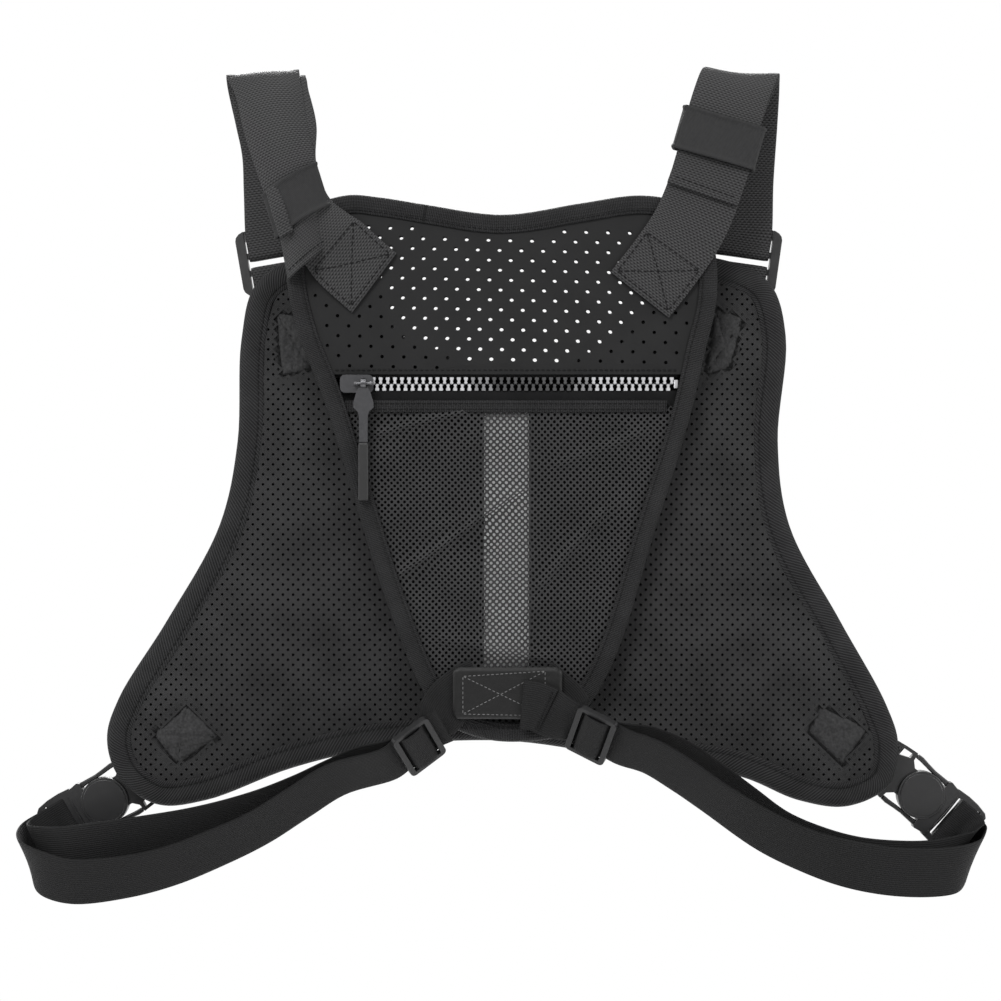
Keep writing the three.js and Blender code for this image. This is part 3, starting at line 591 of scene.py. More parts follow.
def diamond_cell(pitch_x, pitch_z, radius, pit=None):
    """A diamond with a round hole, or a round pit of a given depth, in its middle."""
    hx, hz = pitch_x / 2, pitch_z / 2
    rim = [(hx, 0), (hx / 2, hz / 2), (0, hz), (-hx / 2, hz / 2)]
    rim += [(-hx, 0), (-hx / 2, -hz / 2), (0, -hz), (hx / 2, -hz / 2)]
    turn = np.arange(8) * math.tau / 8
    rows = [(x, z, 0.0) for x, z in rim]
    rows += [(radius * math.cos(a), radius * math.sin(a), 0.0) for a in turn]
    faces = [(k, (k + 1) % 8, 8 + (k + 1) % 8, 8 + k) for k in range(8)]
    if pit:
        rows += [(radius * 0.72 * math.cos(a), radius * 0.72 * math.sin(a), pit) for a in turn]
        faces += [(8 + k, 8 + (k + 1) % 8, 16 + (k + 1) % 8, 16 + k) for k in range(8)]
        faces.append(tuple(range(16, 24)))
    return np.array(rows), faces


# ---------------------------------------------------------------- straps
BUNCHING = 0.35


class Strap:
    """A flat strap along stations [x, y, z, ax, ay, az], as in the CAD source."""

    def __init__(self, stations, width, thickness, step=1.6, square=True):
        path, self.length = resample(spline(stations), step)
        self.width, self.thickness = width, thickness
        self.centre = path[:, :3]
        self.along = unit(np.gradient(self.centre, axis=0))
        self.squeeze = np.clip(np.linalg.norm(path[:, 3:], axis=1), 0.5, 1)
        self.squeeze[self.squeeze > 0.94] = 1
        for _ in range(6):
            self.squeeze[1:-1] = (self.squeeze[:-2] + self.squeeze[1:-1] + self.squeeze[2:]) / 3
        side = unit(path[:, 3:])
        if square:
            side = unit(side - (side * self.along).sum(1)[:, None] * self.along)
        self.side = side
        self.up = unit(np.cross(self.along, side))
        self.run = np.linspace(0, self.length, len(path))

    def bow(self, squeeze, facing, share):
        """Lift of a strap that is bunched to less than its width: its edges bend back, away from the viewer.
        facing is the Y part of its up direction, and share is -1..1 across."""
        depth = BUNCHING * self.width * np.sqrt(np.clip(1 - squeeze**2, 0, 1))
        return depth * np.sign(facing) * (share**2 - 0.4)

    def at(self, s, t, lift=0.0):
        """The point s along and t across, lift above the middle surface; with its directions."""
        centre, side, up, along = (
            np.stack([np.interp(s, self.run, field[:, k]) for k in range(3)], -1)
            for field in (self.centre, self.side, self.up, self.along)
        )
        squeeze, t = np.interp(s, self.run, self.squeeze), np.asarray(t)
        lift = np.asarray(lift) + self.bow(squeeze, up[..., 1], t / self.width * 2)
        return centre + side * (t * squeeze)[..., None] + up * lift[..., None], along, side, up

    def build(self, name, material, curl=0.25, wave=0.15, seed=1, across=12, **rest):
        """The strap as a closed mesh: rounded selvages, a slight curl across and unevenness along."""
        w, h = self.width / 2, self.thickness / 2
        t = np.sin(np.linspace(-1, 1, across + 1) * math.pi / 2) * w
        edge = np.sqrt(np.clip(1 - (np.abs(t) / w) ** 14, 0, 1)) * h
        edge = np.maximum(edge, h * 0.35)
        arch = curl * ((t / w) ** 2 - 0.4)
        ring_t = np.concatenate([t, t[::-1]])
        ring_h = np.concatenate([arch + edge, (arch - edge)[::-1]])
        n, m = len(self.run), len(ring_t)
        phase = np.random.default_rng(seed).uniform(0, math.tau, 4)
        s = self.run[:, None]
        shake = wave * (np.sin(s / 17 + phase[0] + ring_t / w) + 0.6 * np.sin(s / 9 + phase[1] - ring_t / w))
        fade = np.clip(np.minimum(self.run, self.length - self.run) / 15, 0, 1)[:, None]
        squeeze = self.squeeze[:, None]
        lift = ring_h + shake * fade * 0.6 + self.bow(squeeze, self.up[:, 1:2], ring_t / w)
        points = (self.centre[:, None] + self.side[:, None] * (ring_t * squeeze)[..., None]
                  + self.up[:, None] * lift[..., None])
        uv = np.stack([np.repeat(self.run, m), np.tile(ring_t, n)], 1)
        faces = [(i * m + k, (i + 1) * m + k, (i + 1) * m + (k + 1) % m, i * m + (k + 1) % m)
                 for i in range(n - 1) for k in range(m)]
        for base, way in ((0, 1), ((n - 1) * m, -1)):
            for k in range(across):
                faces.append((base + k, base + k + 1, base + m - 2 - k, base + m - 1 - k)[::way])
        return piece(name, points.reshape(-1, 3), faces, material, uv=uv, **rest)


def stitches(name, spots, alongs, normals, length, radius, material=None, body="vest", slot="webbing"):
    """One mesh of small thread bumps, each of six rings of six points, half sunk in the cloth."""
    spots, alongs, normals = np.asarray(spots), unit(alongs), unit(normals)
    rings = [(-0.5, 0.15), (-0.42, 0.75), (-0.2, 1.0), (0.2, 1.0), (0.42, 0.75), (0.5, 0.15)]
    turn = np.arange(6) * math.tau / 6
    shape = np.array([(u * length, r * radius * math.cos(a), r * radius * math.sin(a))
                      for u, r in rings for a in turn])
    cross = unit(np.cross(alongs, normals))
    all_points = (
        spots[:, None]
        + alongs[:, None] * shape[None, :, 0:1]
        + cross[:, None] * shape[None, :, 1:2]
        + normals[:, None] * shape[None, :, 2:3]
    ).reshape(-1, 3)
    local = tube_faces(6, 6) + [tuple(reversed(range(6))), tuple(range(30, 36))]
    faces = [tuple(36 * n + i for i in f) for n in range(len(spots)) for f in local]
    return piece(name, all_points, faces, material or DARK_THREAD, body=body, slot=slot)


def seam_points(corners, pitch):
    """Evenly spaced points along a chain of [u, v] corners, with the direction at each."""
    spots, directions = [], []
    for a, b in zip(corners[:-1], corners[1:]):
        a, b = np.asarray(a, float), np.asarray(b, float)
        count = max(1, int(np.linalg.norm(b - a) / pitch))
        for k in range(count):
            spots.append(a + (b - a) * (k + 0.5) / count)
            directions.append(unit(b - a))
    return np.array(spots), np.array(directions)


def strap_seam(name, strap, corners, lift=0.7, pitch=3.2, length=2.3, radius=0.32, **rest):
    """Stitches on a strap, along a chain of [along, across] corners."""
    spots, directions = seam_points(corners, pitch)
    points, along, side, up = strap.at(spots[:, 0], spots[:, 1], np.full(len(spots), lift))
    way = along * directions[:, :1] + side * directions[:, 1:]
    facing = up * (1 if np.mean(lift) > 0 else -1)
    return stitches(name, points, way, facing, length, radius, **rest)


def flat_stitches(name, spots, directions, y, facing, length, radius, **rest):
    """Stitches at flat [x, z] spots on a panel that faces along Y."""
    normals = np.tile([0.0, facing, 0.0], (len(spots), 1))
    way = upright(directions, np.zeros(len(spots)))
    return stitches(name, upright(spots, y), way, normals, length, radius, **rest)


def panel_seam(name, chains, height, pitch=3.2, length=2.2, radius=0.32, facing=-1, **rest):
    """Stitches on a panel, along chains of [x, z] corners; height gives y there."""
    spots, directions = (np.vstack(part) for part in zip(*(seam_points(chain, pitch) for chain in chains)))
    return flat_stitches(name, spots, directions, height(spots), facing, length, radius, **rest)


def box_cross(a, b, c, d):
    """The closed box a b c d and its two diagonals, as chains."""
    return [[a, b, c, d, a], [a, c], [b, d]]


def strap_box(near, far, half):
    """A box across a strap and one of its diagonals, as one chain of [along, across] corners."""
    return [(near, -half), (near, half), (far, half), (far, -half), (near, -half), (far, half)]


# ---------------------------------------------------------------- chest panel
CHEST_LEFT = [
    (-70, -93), (-108, -93.5), (-128, -107), (-135, -135), (-137, -188), (-146.4, -231.7), (-174, -281.7),
    (-199, -322), (-205, -342), (-199, -362), (-180, -375.8), (-155, -373.8), (-110, -357), (-63.6, -346.3),
]
CHEST_RIGHT = [
    (0, -342.6),
    (61, -351), (124.5, -361.4), (155, -373.8), (180, -376.8), (201, -366), (205.5, -345), (199.5, -325.4),
    (175.5, -281.7), (148.9, -231.7), (142.8, -188), (147, -133), (139, -106), (118, -94.5), (88, -93),
]
NECKLINE = [
    (79, -105), (72, -125), (48, -141), (22, -150), (-14, -148.5), (-40, -138), (-56, -130), (-62, -108),
]
CHEST = resample(spline(CHEST_LEFT + CHEST_RIGHT + NECKLINE, closed=True), 2.2, closed=True)[0]

# squares pressed and stitched through the pad, where webbing is sewn on its other side
PRESSED = [
    [(-163.3, -324), (-146, -341.4), (-169, -356), (-181.7, -339.7)],
    [(165.5, -324.6), (190.5, -337), (177, -357), (159, -338.7)],
    [(-118, -120), (-100.5, -123.5), (-99, -150.5), (-115, -153.5)],
    [(111, -118), (126, -123.5), (119, -149.5), (105, -153.5)],
]


def square_marks(points, square):
    """For each point: whether it is inside a sewn square, and how far from its sides and its diagonals."""
    a, b, c, d = square
    cross = np.minimum(segment_distance(points, a, c), segment_distance(points, b, d))
    return inside(points, np.array(square)), edge_distance(points, np.array(square)), cross


def pressed_depth(points):
    """How far the sewn squares' stitching pulls the padded face in."""
    total = np.zeros(len(points))
    creases = np.sin(points[:, 0] * 0.9 + points[:, 1] * 0.35 + 3 * np.sin(points[:, 1] * 0.2))
    for square in PRESSED:
        within, sides, cross = square_marks(points, square)
        for depth in (1.7 * bell(sides, 1.5), 1.1 * bell(cross, 1.2), 0.7 * within,
                      1.2 * np.exp(-sides / 5) * ~within):
            total = np.maximum(total, depth)
        total = total + 0.35 * creases * np.exp(-sides / 7)
    return total


def pad_front(points, gap):
    """The wearer's side: it rises from the binding's seam inwards, with soft folds."""
    folds = 0.55 * ripple(points, 3, 95) + 0.22 * ripple(points, 5, 33)
    return 1.5 - (2.9 * rise(gap - 9, 11) + folds * np.clip((gap - 10) / 18, 0, 1))


def pad_back(points, gap):
    return 7.6 + 0.65 * rise(gap - 8, 12) + 0.25 * ripple(points, 11, 120)


pad = slab("chest_pad", CHEST, pad_front, pad_back, SHELL, step=6.0, slot="shell",
           replaces=("chest_foam_pad", "chest_outer_shell"))


SWELL_FRAMES = 20
SWELL_LIMIT = 1.6
WEARER_SIDE_Y = 0.004


def swell(obj, rim):
    """Inflates a padded piece with a short cloth simulation that holds its sewn rim, and keeps the result."""
    rest = np.array([tuple(v.co) for v in obj.data.vertices])
    held = obj.vertex_groups.new(name="held")
    gap = edge_distance(rest[:, [0, 2]] / MM, rim)
    for i, d in enumerate(gap):
        held.add([i], float(np.clip(1.15 - d / 22, 0, 1)), "REPLACE")
    mod = obj.modifiers.new("Cloth", "CLOTH")
    mod.settings.quality = 4
    mod.settings.mass = 0.3
    mod.settings.vertex_group_mass = "held"
    mod.settings.use_pressure = True
    mod.settings.uniform_pressure_force = 4
    mod.settings.tension_stiffness = 18
    mod.settings.compression_stiffness = 12
    mod.settings.bending_stiffness = 2
    mod.settings.effector_weights.gravity = 0
    mod.collision_settings.use_collision = False
    scene = bpy.context.scene
    mod.point_cache.frame_start, mod.point_cache.frame_end = 1, SWELL_FRAMES
    for step in range(1, SWELL_FRAMES + 1):
        scene.frame_set(step)
    graph = bpy.context.evaluated_depsgraph_get()
    shaped = obj.evaluated_get(graph).to_mesh()
    moved = np.array([tuple(v.co) for v in shaped.vertices])
    obj.evaluated_get(graph).to_mesh_clear()
    obj.modifiers.clear()
    obj.vertex_groups.clear()
    scene.frame_set(1)
    shift = moved - rest
    size = np.linalg.norm(shift, axis=1, keepdims=True)
    shift *= np.minimum(1, SWELL_LIMIT * MM / np.maximum(size, 1e-9))
    obj.data.vertices.foreach_set("co", (rest + shift).ravel())
    obj.data.update()


swell(pad, CHEST)
worn = [v for v in pad.data.vertices if v.co.y < WEARER_SIDE_Y]
for v, pressed in zip(worn, pressed_depth(np.array([[v.co.x, v.co.z] for v in worn]) / MM)):
    v.co.y += float(pressed) * MM
pad_tree = BVHTree.FromPolygons(
    [tuple(v.co) for v in pad.data.vertices], [tuple(p.vertices) for p in pad.data.polygons]
)


def on_pad(points):
    """y of the pad's surface on the wearer's side at [x, z] points."""
    out = np.zeros(len(points))
    for i, (x, z) in enumerate(points):
        hit = pad_tree.ray_cast(Vector((x * MM, -0.05, z * MM)), Vector((0, 1, 0)))
        out[i] = hit[0].y / MM if hit[0] else 0.0
    return out


LINING_LIFT = 1.9
FLAT_FACES, PIT_FACES = 8, 9
PIT_PITCH_X, PIT_PITCH_Z, PIT_RADIUS, PIT_DEPTH = 5.3, 5.2, 0.72, 1.3
pitted = diamond_cell(PIT_PITCH_X, PIT_PITCH_Z, PIT_RADIUS, PIT_DEPTH)
flat, depth, faces = cells(CHEST, PIT_PITCH_X, PIT_PITCH_Z, pitted, 6.0,
                           skip=[np.array(square) for square in PRESSED])
lining = piece("chest_lining", upright(flat, on_pad(flat) - LINING_LIFT + depth), faces, [SPACER, PIT],
               slot="lining", replaces=("chest_mesh_lining",))
# the pits' walls and bottoms take the near-black cloth: painted shade in them
lining.data.polygons.foreach_set(
    "material_index", ([0] * FLAT_FACES + [1] * PIT_FACES) * (len(faces) // (FLAT_FACES + PIT_FACES)))
face_outward(lining, -1)
with Edited(lining.data) as bm:
    for edge in bm.edges:
        edge.smooth = len({f.material_index for f in edge.link_faces}) < 2

SQUARE_POINTS = 41


def sewn_square(number, square):
    """The lining inside a sewn square: no pits, a brushed nap, and grooves along the sides and diagonals."""
    a, b, c, d = (np.array(corner, float) for corner in square)
    share = np.linspace(-0.14, 1.14, SQUARE_POINTS)
    spot = np.array([(1 - i) * (1 - j) * a + i * (1 - j) * b + i * j * c + (1 - i) * j * d
                     for i in share for j in share])
    within, sides, cross = square_marks(spot, square)
    sides = sides + 0.5 * ripple(spot, 81 + number, 6)
    nap = (0.35 * ripple(spot, 71 + number, 4.5) + 0.5 * ripple(spot, 91 + number, 11)) * within
    puff = np.where(within, -0.5 * (1 - np.exp(-sides / 2)), 0.15)
    groove = 1.2 * bell(sides, 1.3) + 0.6 * bell(cross, 0.8) * within
    n = SQUARE_POINTS
    quads = [(i * n + j, i * n + j + 1, (i + 1) * n + j + 1, (i + 1) * n + j)
             for i in range(n - 1) for j in range(n - 1)]
    y = on_pad(spot) - LINING_LIFT + puff + groove + nap
    obj = piece(f"sewn_square_{number}", upright(spot, y), quads, [SPACER, CREASE, NAP], slot="lining")
    # faces along the square's sides take the darker cloth, painted shade in the grooves; those inside take the
    # nap
    sides_there = sides[np.array(quads)].mean(1)
    within_there = within[np.array(quads)].mean(1)
    look = np.where(sides_there < 0.8, 1, np.where(within_there > 0.5, 2, 0))
    obj.data.polygons.foreach_set("material_index", look.astype(np.int32))
    face_outward(obj, -1)


for number, square in enumerate(PRESSED):
    sewn_square(number, square)


# ---------------------------------------------------------------- edge bindings
TAPE_THICKNESS = 0.7


def bound_edge(name, outline, profile, material, node):
    """Folded tape swept round an outline. profile lists [inward distance, y] from its front inner edge
    round the rim to its back inner edge; the tape's other side lies inside it."""
    normal = inward(outline)
    path = resample(spline(profile, 4), 0.9)[0]
    way = unit(np.gradient(path, axis=0))
    offset = np.stack([way[:, 1], -way[:, 0]], 1)
    flip = np.sign(((path.mean(0) - path) * offset).sum(1).mean())
    ring = np.vstack([path, (path + offset * flip * TAPE_THICKNESS)[::-1]])
    across, round_run = run_along(path), run_along(outline)
    n, m = len(outline), len(ring)
    x = outline[:, :1] + normal[:, :1] * ring[:, 0]
    z = outline[:, 1:] + normal[:, 1:] * ring[:, 0]
    y = ring[:, 1] + (0.12 * np.sin(round_run / 11) + 0.08 * np.sin(round_run / 4.3))[:, None]
    uv = np.stack([np.repeat(round_run, m), np.tile(np.concatenate([across, across[::-1]]), n)], 1)
    return piece(name, np.stack([x, y, z], -1).reshape(-1, 3), tube_faces(n, m, closed=True), material,
                 slot="binding", replaces=(node,), uv=uv)


def rim_seam(name, outline, inset, height, pitch, facing=-1):
    """A row of stitches at an inset from an outline; height gives y there."""
    spot = shrunk(resample(outline, pitch, closed=True)[0], inset)
    along = unit(np.roll(spot, -1, 0) - np.roll(spot, 1, 0))
    return flat_stitches(name, spot, along, height(spot), facing, pitch * 0.68, 0.3, slot="binding")


bound_edge("chest_tape", CHEST, [
    (12.2, -0.6), (11.6, -1.2), (10.2, -1.35), (9.2, -1.15), (8.0, -1.5), (5.0, -2.0), (2.0, -1.8),
    (0.2, -0.7), (-0.8, 1.2), (-1.0, 4.0), (-0.8, 7.0), (0.2, 9.0), (2.0, 9.9), (5.0, 10.0), (8.0, 9.6),
    (9.2, 9.25), (10.4, 9.4), (12.0, 9.1),
], CHEST_TAPE, "chest_binding")
rim_seam("chest_tape_seam", CHEST, 9.3, level(-1.55), 3.0)
rim_seam("chest_tape_seam_outer", CHEST, 9.3, level(9.45), 3.0, facing=1)
for number, square in enumerate(PRESSED):
    panel_seam(f"pressed_seam_{number}", box_cross(*square), lambda spots: on_pad(spots) - LINING_LIFT + 0.5,
               slot="lining")

# ---------------------------------------------------------------- back panel
BACK_LEFT = [
    (-40, -67), (-62, -63.5), (-80, -62.3), (-98, -69), (-108, -84), (-110, -104), (-103.7, -133.6),
    (-91, -166), (-77.4, -210.4), (-58.8, -269.7), (-42, -312), (-30, -331), (-10, -340),
]
BACK_RIGHT = [
    (12, -341.5), (31, -338), (45, -322), (58.8, -295.5), (76.3, -238.8), (95.4, -176.9), (104, -140),
    (109, -119), (109.8, -99.5), (106, -80), (97, -69), (85, -64), (68.6, -62.4), (40, -66.5), (0, -72.3),
]
BACK = resample(spline(BACK_LEFT + BACK_RIGHT, closed=True), 2.0, closed=True)[0]
YOKE_HEM_Z, POCKET_TOP_Z = -153.6, -167.6


def clip(outline, height, side):
    """The part of an outline above (1) or below (-1) a height."""
    kept = []
    for p, q in zip(outline, np.roll(outline, -1, 0)):
        if side * (p[1] - height) >= 0:
            kept.append(p)
        if (p[1] - height) * (q[1] - height) < 0:
            share = (height - p[1]) / (q[1] - p[1])
            kept.append(p + share * (q - p))
    return np.array(kept)


BACK_CLOTH = shrunk(BACK, 0.6)
YOKE = clip(BACK_CLOTH, YOKE_HEM_Z, 1)
POCKET = clip(BACK_CLOTH, POCKET_TOP_Z, -1)
YOKE_TILT = math.radians(1.2)
HOLE_PITCH_X, HOLE_PITCH_Z = 11.2, 5.1
HOLE_TOP_Z, HOLE_ROWS, HOLE_COLUMNS = -79.5, 17, 21
# in the photograph the holes look larger where the neck opening is behind them than before the chest panel
CLEAR_RADIUS, DIM_RADIUS = 1.12, 0.92
# seen by the camera, a hole hides the spot of the chest panel that is this many times as far from the origin
VIEW_SPREAD = 1.013
BINDING_MARGIN, HEM_MARGIN = 11, 3.2


def yoke_y(points, gap):
    soft = 0.5 * ripple(points, 21, 120) + 0.9 * rise(gap - 6, 10)
    return -16.6 - soft * np.clip(gap / 12, 0, 1)


hole_spots = []
for row in range(HOLE_ROWS):
    z = HOLE_TOP_Z - row * HOLE_PITCH_Z
    for column in range(HOLE_COLUMNS):
        x = (column - HOLE_COLUMNS // 2 + row % 2 / 2) * HOLE_PITCH_X - 1.5 + row * 0.12
        hole_spots.append((x, z - x * math.sin(YOKE_TILT)))
hole_spots = np.array(hole_spots)
clear = ~inside(hole_spots * VIEW_SPREAD, CHEST)
fits = (inside(hole_spots, YOKE) & (edge_distance(hole_spots, BACK) > BINDING_MARGIN)
        & (hole_spots[:, 1] > YOKE_HEM_Z + HEM_MARGIN))
HOLES = [(x, z, r) for (x, z), r in zip(hole_spots[fits], np.where(clear, CLEAR_RADIUS, DIM_RADIUS)[fits])]
flat, faces = filled(YOKE, 6.0, HOLES)
yoke = piece("perforated_yoke", upright(flat, yoke_y(flat, edge_distance(flat, BACK))), faces, NEOPRENE,
             slot="neoprene", replaces=("back_yoke",))
thin_sheet(yoke, 1.6)

# the base panel has the same perforations behind the yoke, and is whole behind the pocket
flat, faces = filled(BACK_CLOTH, 7.0, HOLES)
base = piece("base_panel", upright(flat, -10.4 + 0.25 * ripple(flat, 31, 90)), faces, [DEEP, CREASE],
             slot="shell", replaces=("back_base_panel",))
# the panel is lighter behind the yoke than behind the pocket: painted light where the yoke's holes show it
behind_yoke = [int(flat[list(face), 1].mean() > YOKE_HEM_Z) for face in faces]
base.data.polygons.foreach_set("material_index", behind_yoke)
thin_sheet(base, 0.9)

# the netting's creases: two ends, height and width
FOLDS = [
    ((-52, -256), (10, -214), 2.2, 3.2), ((-63, -184), (-21, -173), 1.5, 3.0),
    ((-40, -235), (-10, -225), 1.1, 4.0), ((20, -262), (52, -225), 1.4, 3.6),
    ((-30, -290), (22, -300), 1.2, 4.0), ((30, -200), (70, -185), 1.2, 4.0),
]


def net_y(points):
    y = -15.2 - 0.7 * ripple(points, 41, 70) - 0.3 * ripple(points, 43, 28)
    for a, b, height, width in FOLDS:
        y -= height * bell(segment_distance(points, a, b), width)
    return y


NET_PITCH, NET_HOLE_RADIUS = 3.3, 0.79
netted = diamond_cell(NET_PITCH, NET_PITCH, NET_HOLE_RADIUS)
flat, depth, faces = cells(POCKET, NET_PITCH, NET_PITCH, netted, 3.0)
# how far each point of the netting is pulled sideways: unevenly all over, and together at the creases
pulled = np.stack([0.5 * ripple(flat, seed, 45) + 0.25 * ripple(flat, seed + 1, 18) for seed in (47, 49)], 1)
for a, b, height, width in FOLDS:
    (ax, az), (bx, bz) = a, b
    across = unit(np.array([az - bz, bx - ax]))
    away = (flat - np.array([ax, az])) @ across
    near = segment_distance(flat, a, b)
    pulled -= (0.55 * height * away / width * bell(near, 1.4 * width))[:, None] * across
net = piece("pocket_net", upright(flat + pulled, net_y(flat)), faces, NETTING, slot="netting",
            replaces=("mesh_pocket",))
thin_sheet(net, 0.4)


bound_edge("back_tape", BACK, [
    (9.0, -17.6), (8.4, -18.05), (7.4, -18.1), (6.8, -17.9), (6.0, -18.3), (4.8, -18.15), (3.6, -18.45),
    (2.2, -18.4), (0.6, -17.9), (-0.6, -16.2), (-0.8, -13.4), (-0.6, -10.4), (0.6, -8.9), (2.4, -8.4),
    (5.0, -8.4), (7.2, -8.6), (9.0, -8.9),
], BACK_TAPE, "back_binding")
rim_seam("back_tape_seam", BACK, 7.2, level(-18.45), 2.7)
rim_seam("back_tape_seam_inner", BACK, 7.0, level(-8.5), 2.7, facing=1)

# the reflective strip behind the netting
STRIP = [(-9.3, -304.5), (13.9, -304.5), (13.9, -171), (-9.3, -171)]
slab("reflective_band", resample(np.array(STRIP, float), 6, closed=True)[0],
     lambda points, gap: -11.5 - 0.15 * ripple(points, 51, 40), level(-10.75), REFLECTIVE, step=4.0,
     slot="reflective", replaces=("reflective_strip",))


# ---------------------------------------------------------------- flat tapes
def flat_tape(name, x0, x1, z0, z1, y, thickness, material, node):
    """A straight tape in the panel's plane, as a strap lying along X."""
    stations = [(x, y, (z0 + z1) / 2, 0, 0, 1) for x in np.linspace(x0, x1, 9)]
    Strap(stations, z1 - z0, thickness, step=3.0).build(
        name, material, curl=0.1, wave=0.12, across=6, slot="binding", replaces=(node,))


ZIP_Z = -158.5
ZIP_Y = -13.8
flat_tape("back_tape_upper", -87, 91, ZIP_Z + 3.3, ZIP_Z + 9.4, ZIP_Y, 0.8, ZIP_TAPE, "back_zip_tape_upper")
flat_tape("back_tape_lower", -87, 91, ZIP_Z - 13.2, ZIP_Z - 3.3, ZIP_Y, 0.8, ZIP_TAPE, "back_zip_tape_lower")
flat_tape("pocket_hem_tape", -80.5, 84.5, -173.1, -167.0, -16.2, 1.0, BACK_TAPE, "pocket_hem")
panel_seam("pocket_hem_seam", [[(-77, -168.6), (81, -168.6)], [(-75, -171.6), (80, -171.6)]],
           level(-16.8), pitch=2.7, length=1.9, slot="binding")
panel_seam("yoke_hem_seam", [[(-86, -151.6), (90, -151.6)]],
           level(-17.3), pitch=2.7, length=1.9, slot="neoprene")

CHEST_ZIP_Z = -200.0
CHEST_ZIP_Y = 11.4
flat_tape("chest_tape_upper", -85, 85, CHEST_ZIP_Z + 3.3, CHEST_ZIP_Z + 8, CHEST_ZIP_Y, 0.8, ZIP_TAPE,
          "chest_zip_tape_upper")
flat_tape("chest_tape_lower", -85, 85, CHEST_ZIP_Z - 8, CHEST_ZIP_Z - 3.3, CHEST_ZIP_Y, 0.8, ZIP_TAPE,
          "chest_zip_tape_lower")


# ---------------------------------------------------------------- zip teeth
def tooth():
    """One moulded zip tooth: a foot on the tape's edge, a neck and a head. [x, toward the other row, out]"""
    outline = [(-1.15, -1.9), (-1.25, -0.9), (-0.6, 0.1), (-1.0, 0.8), (-0.8, 1.75), (0.8, 1.75), (1.0, 0.8),
               (0.6, 0.1), (1.25, -0.9), (1.15, -1.9)]
    n = len(outline)
    layers = [(-1.15, 0.82), (-0.85, 1.0), (0.85, 1.0), (1.25, 0.8)]
    points = [(x * k, y * k if y > 0 else y, h) for h, k in layers for x, y in outline]
    ends = [tuple(reversed(range(n))), tuple(range((len(layers) - 1) * n, len(layers) * n))]
    return np.array(points), tube_faces(len(layers), n) + ends


ZIP_PITCH = 3.65
# shares of a zip's length: where the painted dark reflection in its middle lies, and how far from there its
# teeth turn to the painted grey and bright reflections
DARK_MIDDLE, GREY_FROM, BRIGHT_FROM = 0.565, 0.125, 0.19


def zip_teeth(name, x_start, direction, length, z, y, out):
    """Both rows of a zip's teeth. Their materials give the photograph's reflections."""
    points, local = tooth()
    for row, side, first in (("upper", 1, 1.0), ("lower", -1, 1.0 + ZIP_PITCH / 2)):
        vertices, faces, looks = [], [], []
        for n, x in enumerate(np.arange(first, length, ZIP_PITCH)):
            world_x = x_start + direction * (x + points[:, 0])
            world_z = z + side * (1.55 - points[:, 1])
            vertices.append(np.stack([world_x, y + out * points[:, 2], world_z], 1))
            faces += [tuple(n * len(points) + i for i in f) for f in local]
            share = abs(x / length - DARK_MIDDLE)
            looks += [0 if share > BRIGHT_FROM else 1 if share > GREY_FROM else 2] * len(local)
        obj = piece(f"{name}_teeth_{row}", np.vstack(vertices), faces, [BRIGHT, GREYED, DARK_REFLECTION],
                    slot="zip_metal", replaces=(f"{name}_zip_teeth_{row}",), smooth=False)
        obj.data.polygons.foreach_set("material_index", looks)
        face_outward(obj)


zip_teeth("back", -78, 1, 165.5, ZIP_Z, ZIP_Y, -1)
zip_teeth("chest", 76, -1, 157.5, CHEST_ZIP_Z, CHEST_ZIP_Y, 1)


# ---------------------------------------------------------------- local axes, as in the CAD source
class Axes:
    """A place with its own axes: x and y as given, z = x cross y."""

    def __init__(self, origin, x_axis, y_axis):
        self.origin = np.array(origin, float)
        x = unit(x_axis)
        y = np.array(y_axis, float)
        y = unit(y - (y @ x) * x)
        self.turn = np.stack([x, y, np.cross(x, y)])

    def point(self, p):
        return self.origin + np.asarray(p, float) @ self.turn

    def station(self, x, y, z, across):
        return (*self.point((x, y, z)), *(np.asarray(across, float) @ self.turn))


RIGHT_BUCKLE = Axes((220.2, 14, -373), (0.755, 0, -0.656), (0.656, 0, 0.755))
LEFT_BUCKLE = Axes((-208.6, 14, -376.2), (-0.857, 0, -0.515), (0.515, 0, -0.857))
RIGHT_GLIDE = Axes((45.8, -30, -336.9), (0.88, -0.2, -0.43), (0.183, -0.6, 0.78))
LEFT_GLIDE = Axes((-42.9, -30, -342.5), (-0.79, -0.18, -0.58), (0.33, 0.68, -0.64))
LEFT_LOCK = Axes((-113.5, 12.7, -91), (0.985, 0, 0.17), (-0.17, 0, 0.985))
RIGHT_LOCK = Axes((120.8, 12.7, -91), (0.99, 0, -0.14), (0.14, 0, 0.99))

# ---------------------------------------------------------------- moulded and metal parts from the CAD
def rounded_copy(node, name, material, radius, body, segments=2, reshape=None):
    """The CAD node's own shape with its sharp edges rounded, and its points moved by reshape."""
    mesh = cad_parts[node].data.copy()
    mesh.name = name
    if reshape:
        spots = np.array([tuple(v.co) for v in mesh.vertices]) / MM
        mesh.vertices.foreach_set("co", (reshape(spots) * MM).ravel())
    with Edited(mesh) as bm:
        bmesh.ops.remove_doubles(bm, verts=bm.verts, dist=1e-6)
        round_edges(bm, 2, 28, radius, segments)
        bmesh.ops.recalc_face_normals(bm, faces=bm.faces)
    mesh.materials.clear()
    mesh.materials.append(material)
    mesh.polygons.foreach_set("use_smooth", [True] * len(mesh.polygons))
    register(name, mesh, body, (node,)).modifiers.new("even_shading", "WEIGHTED_NORMAL")


LOCK_HALF_WIDTH = 19.2


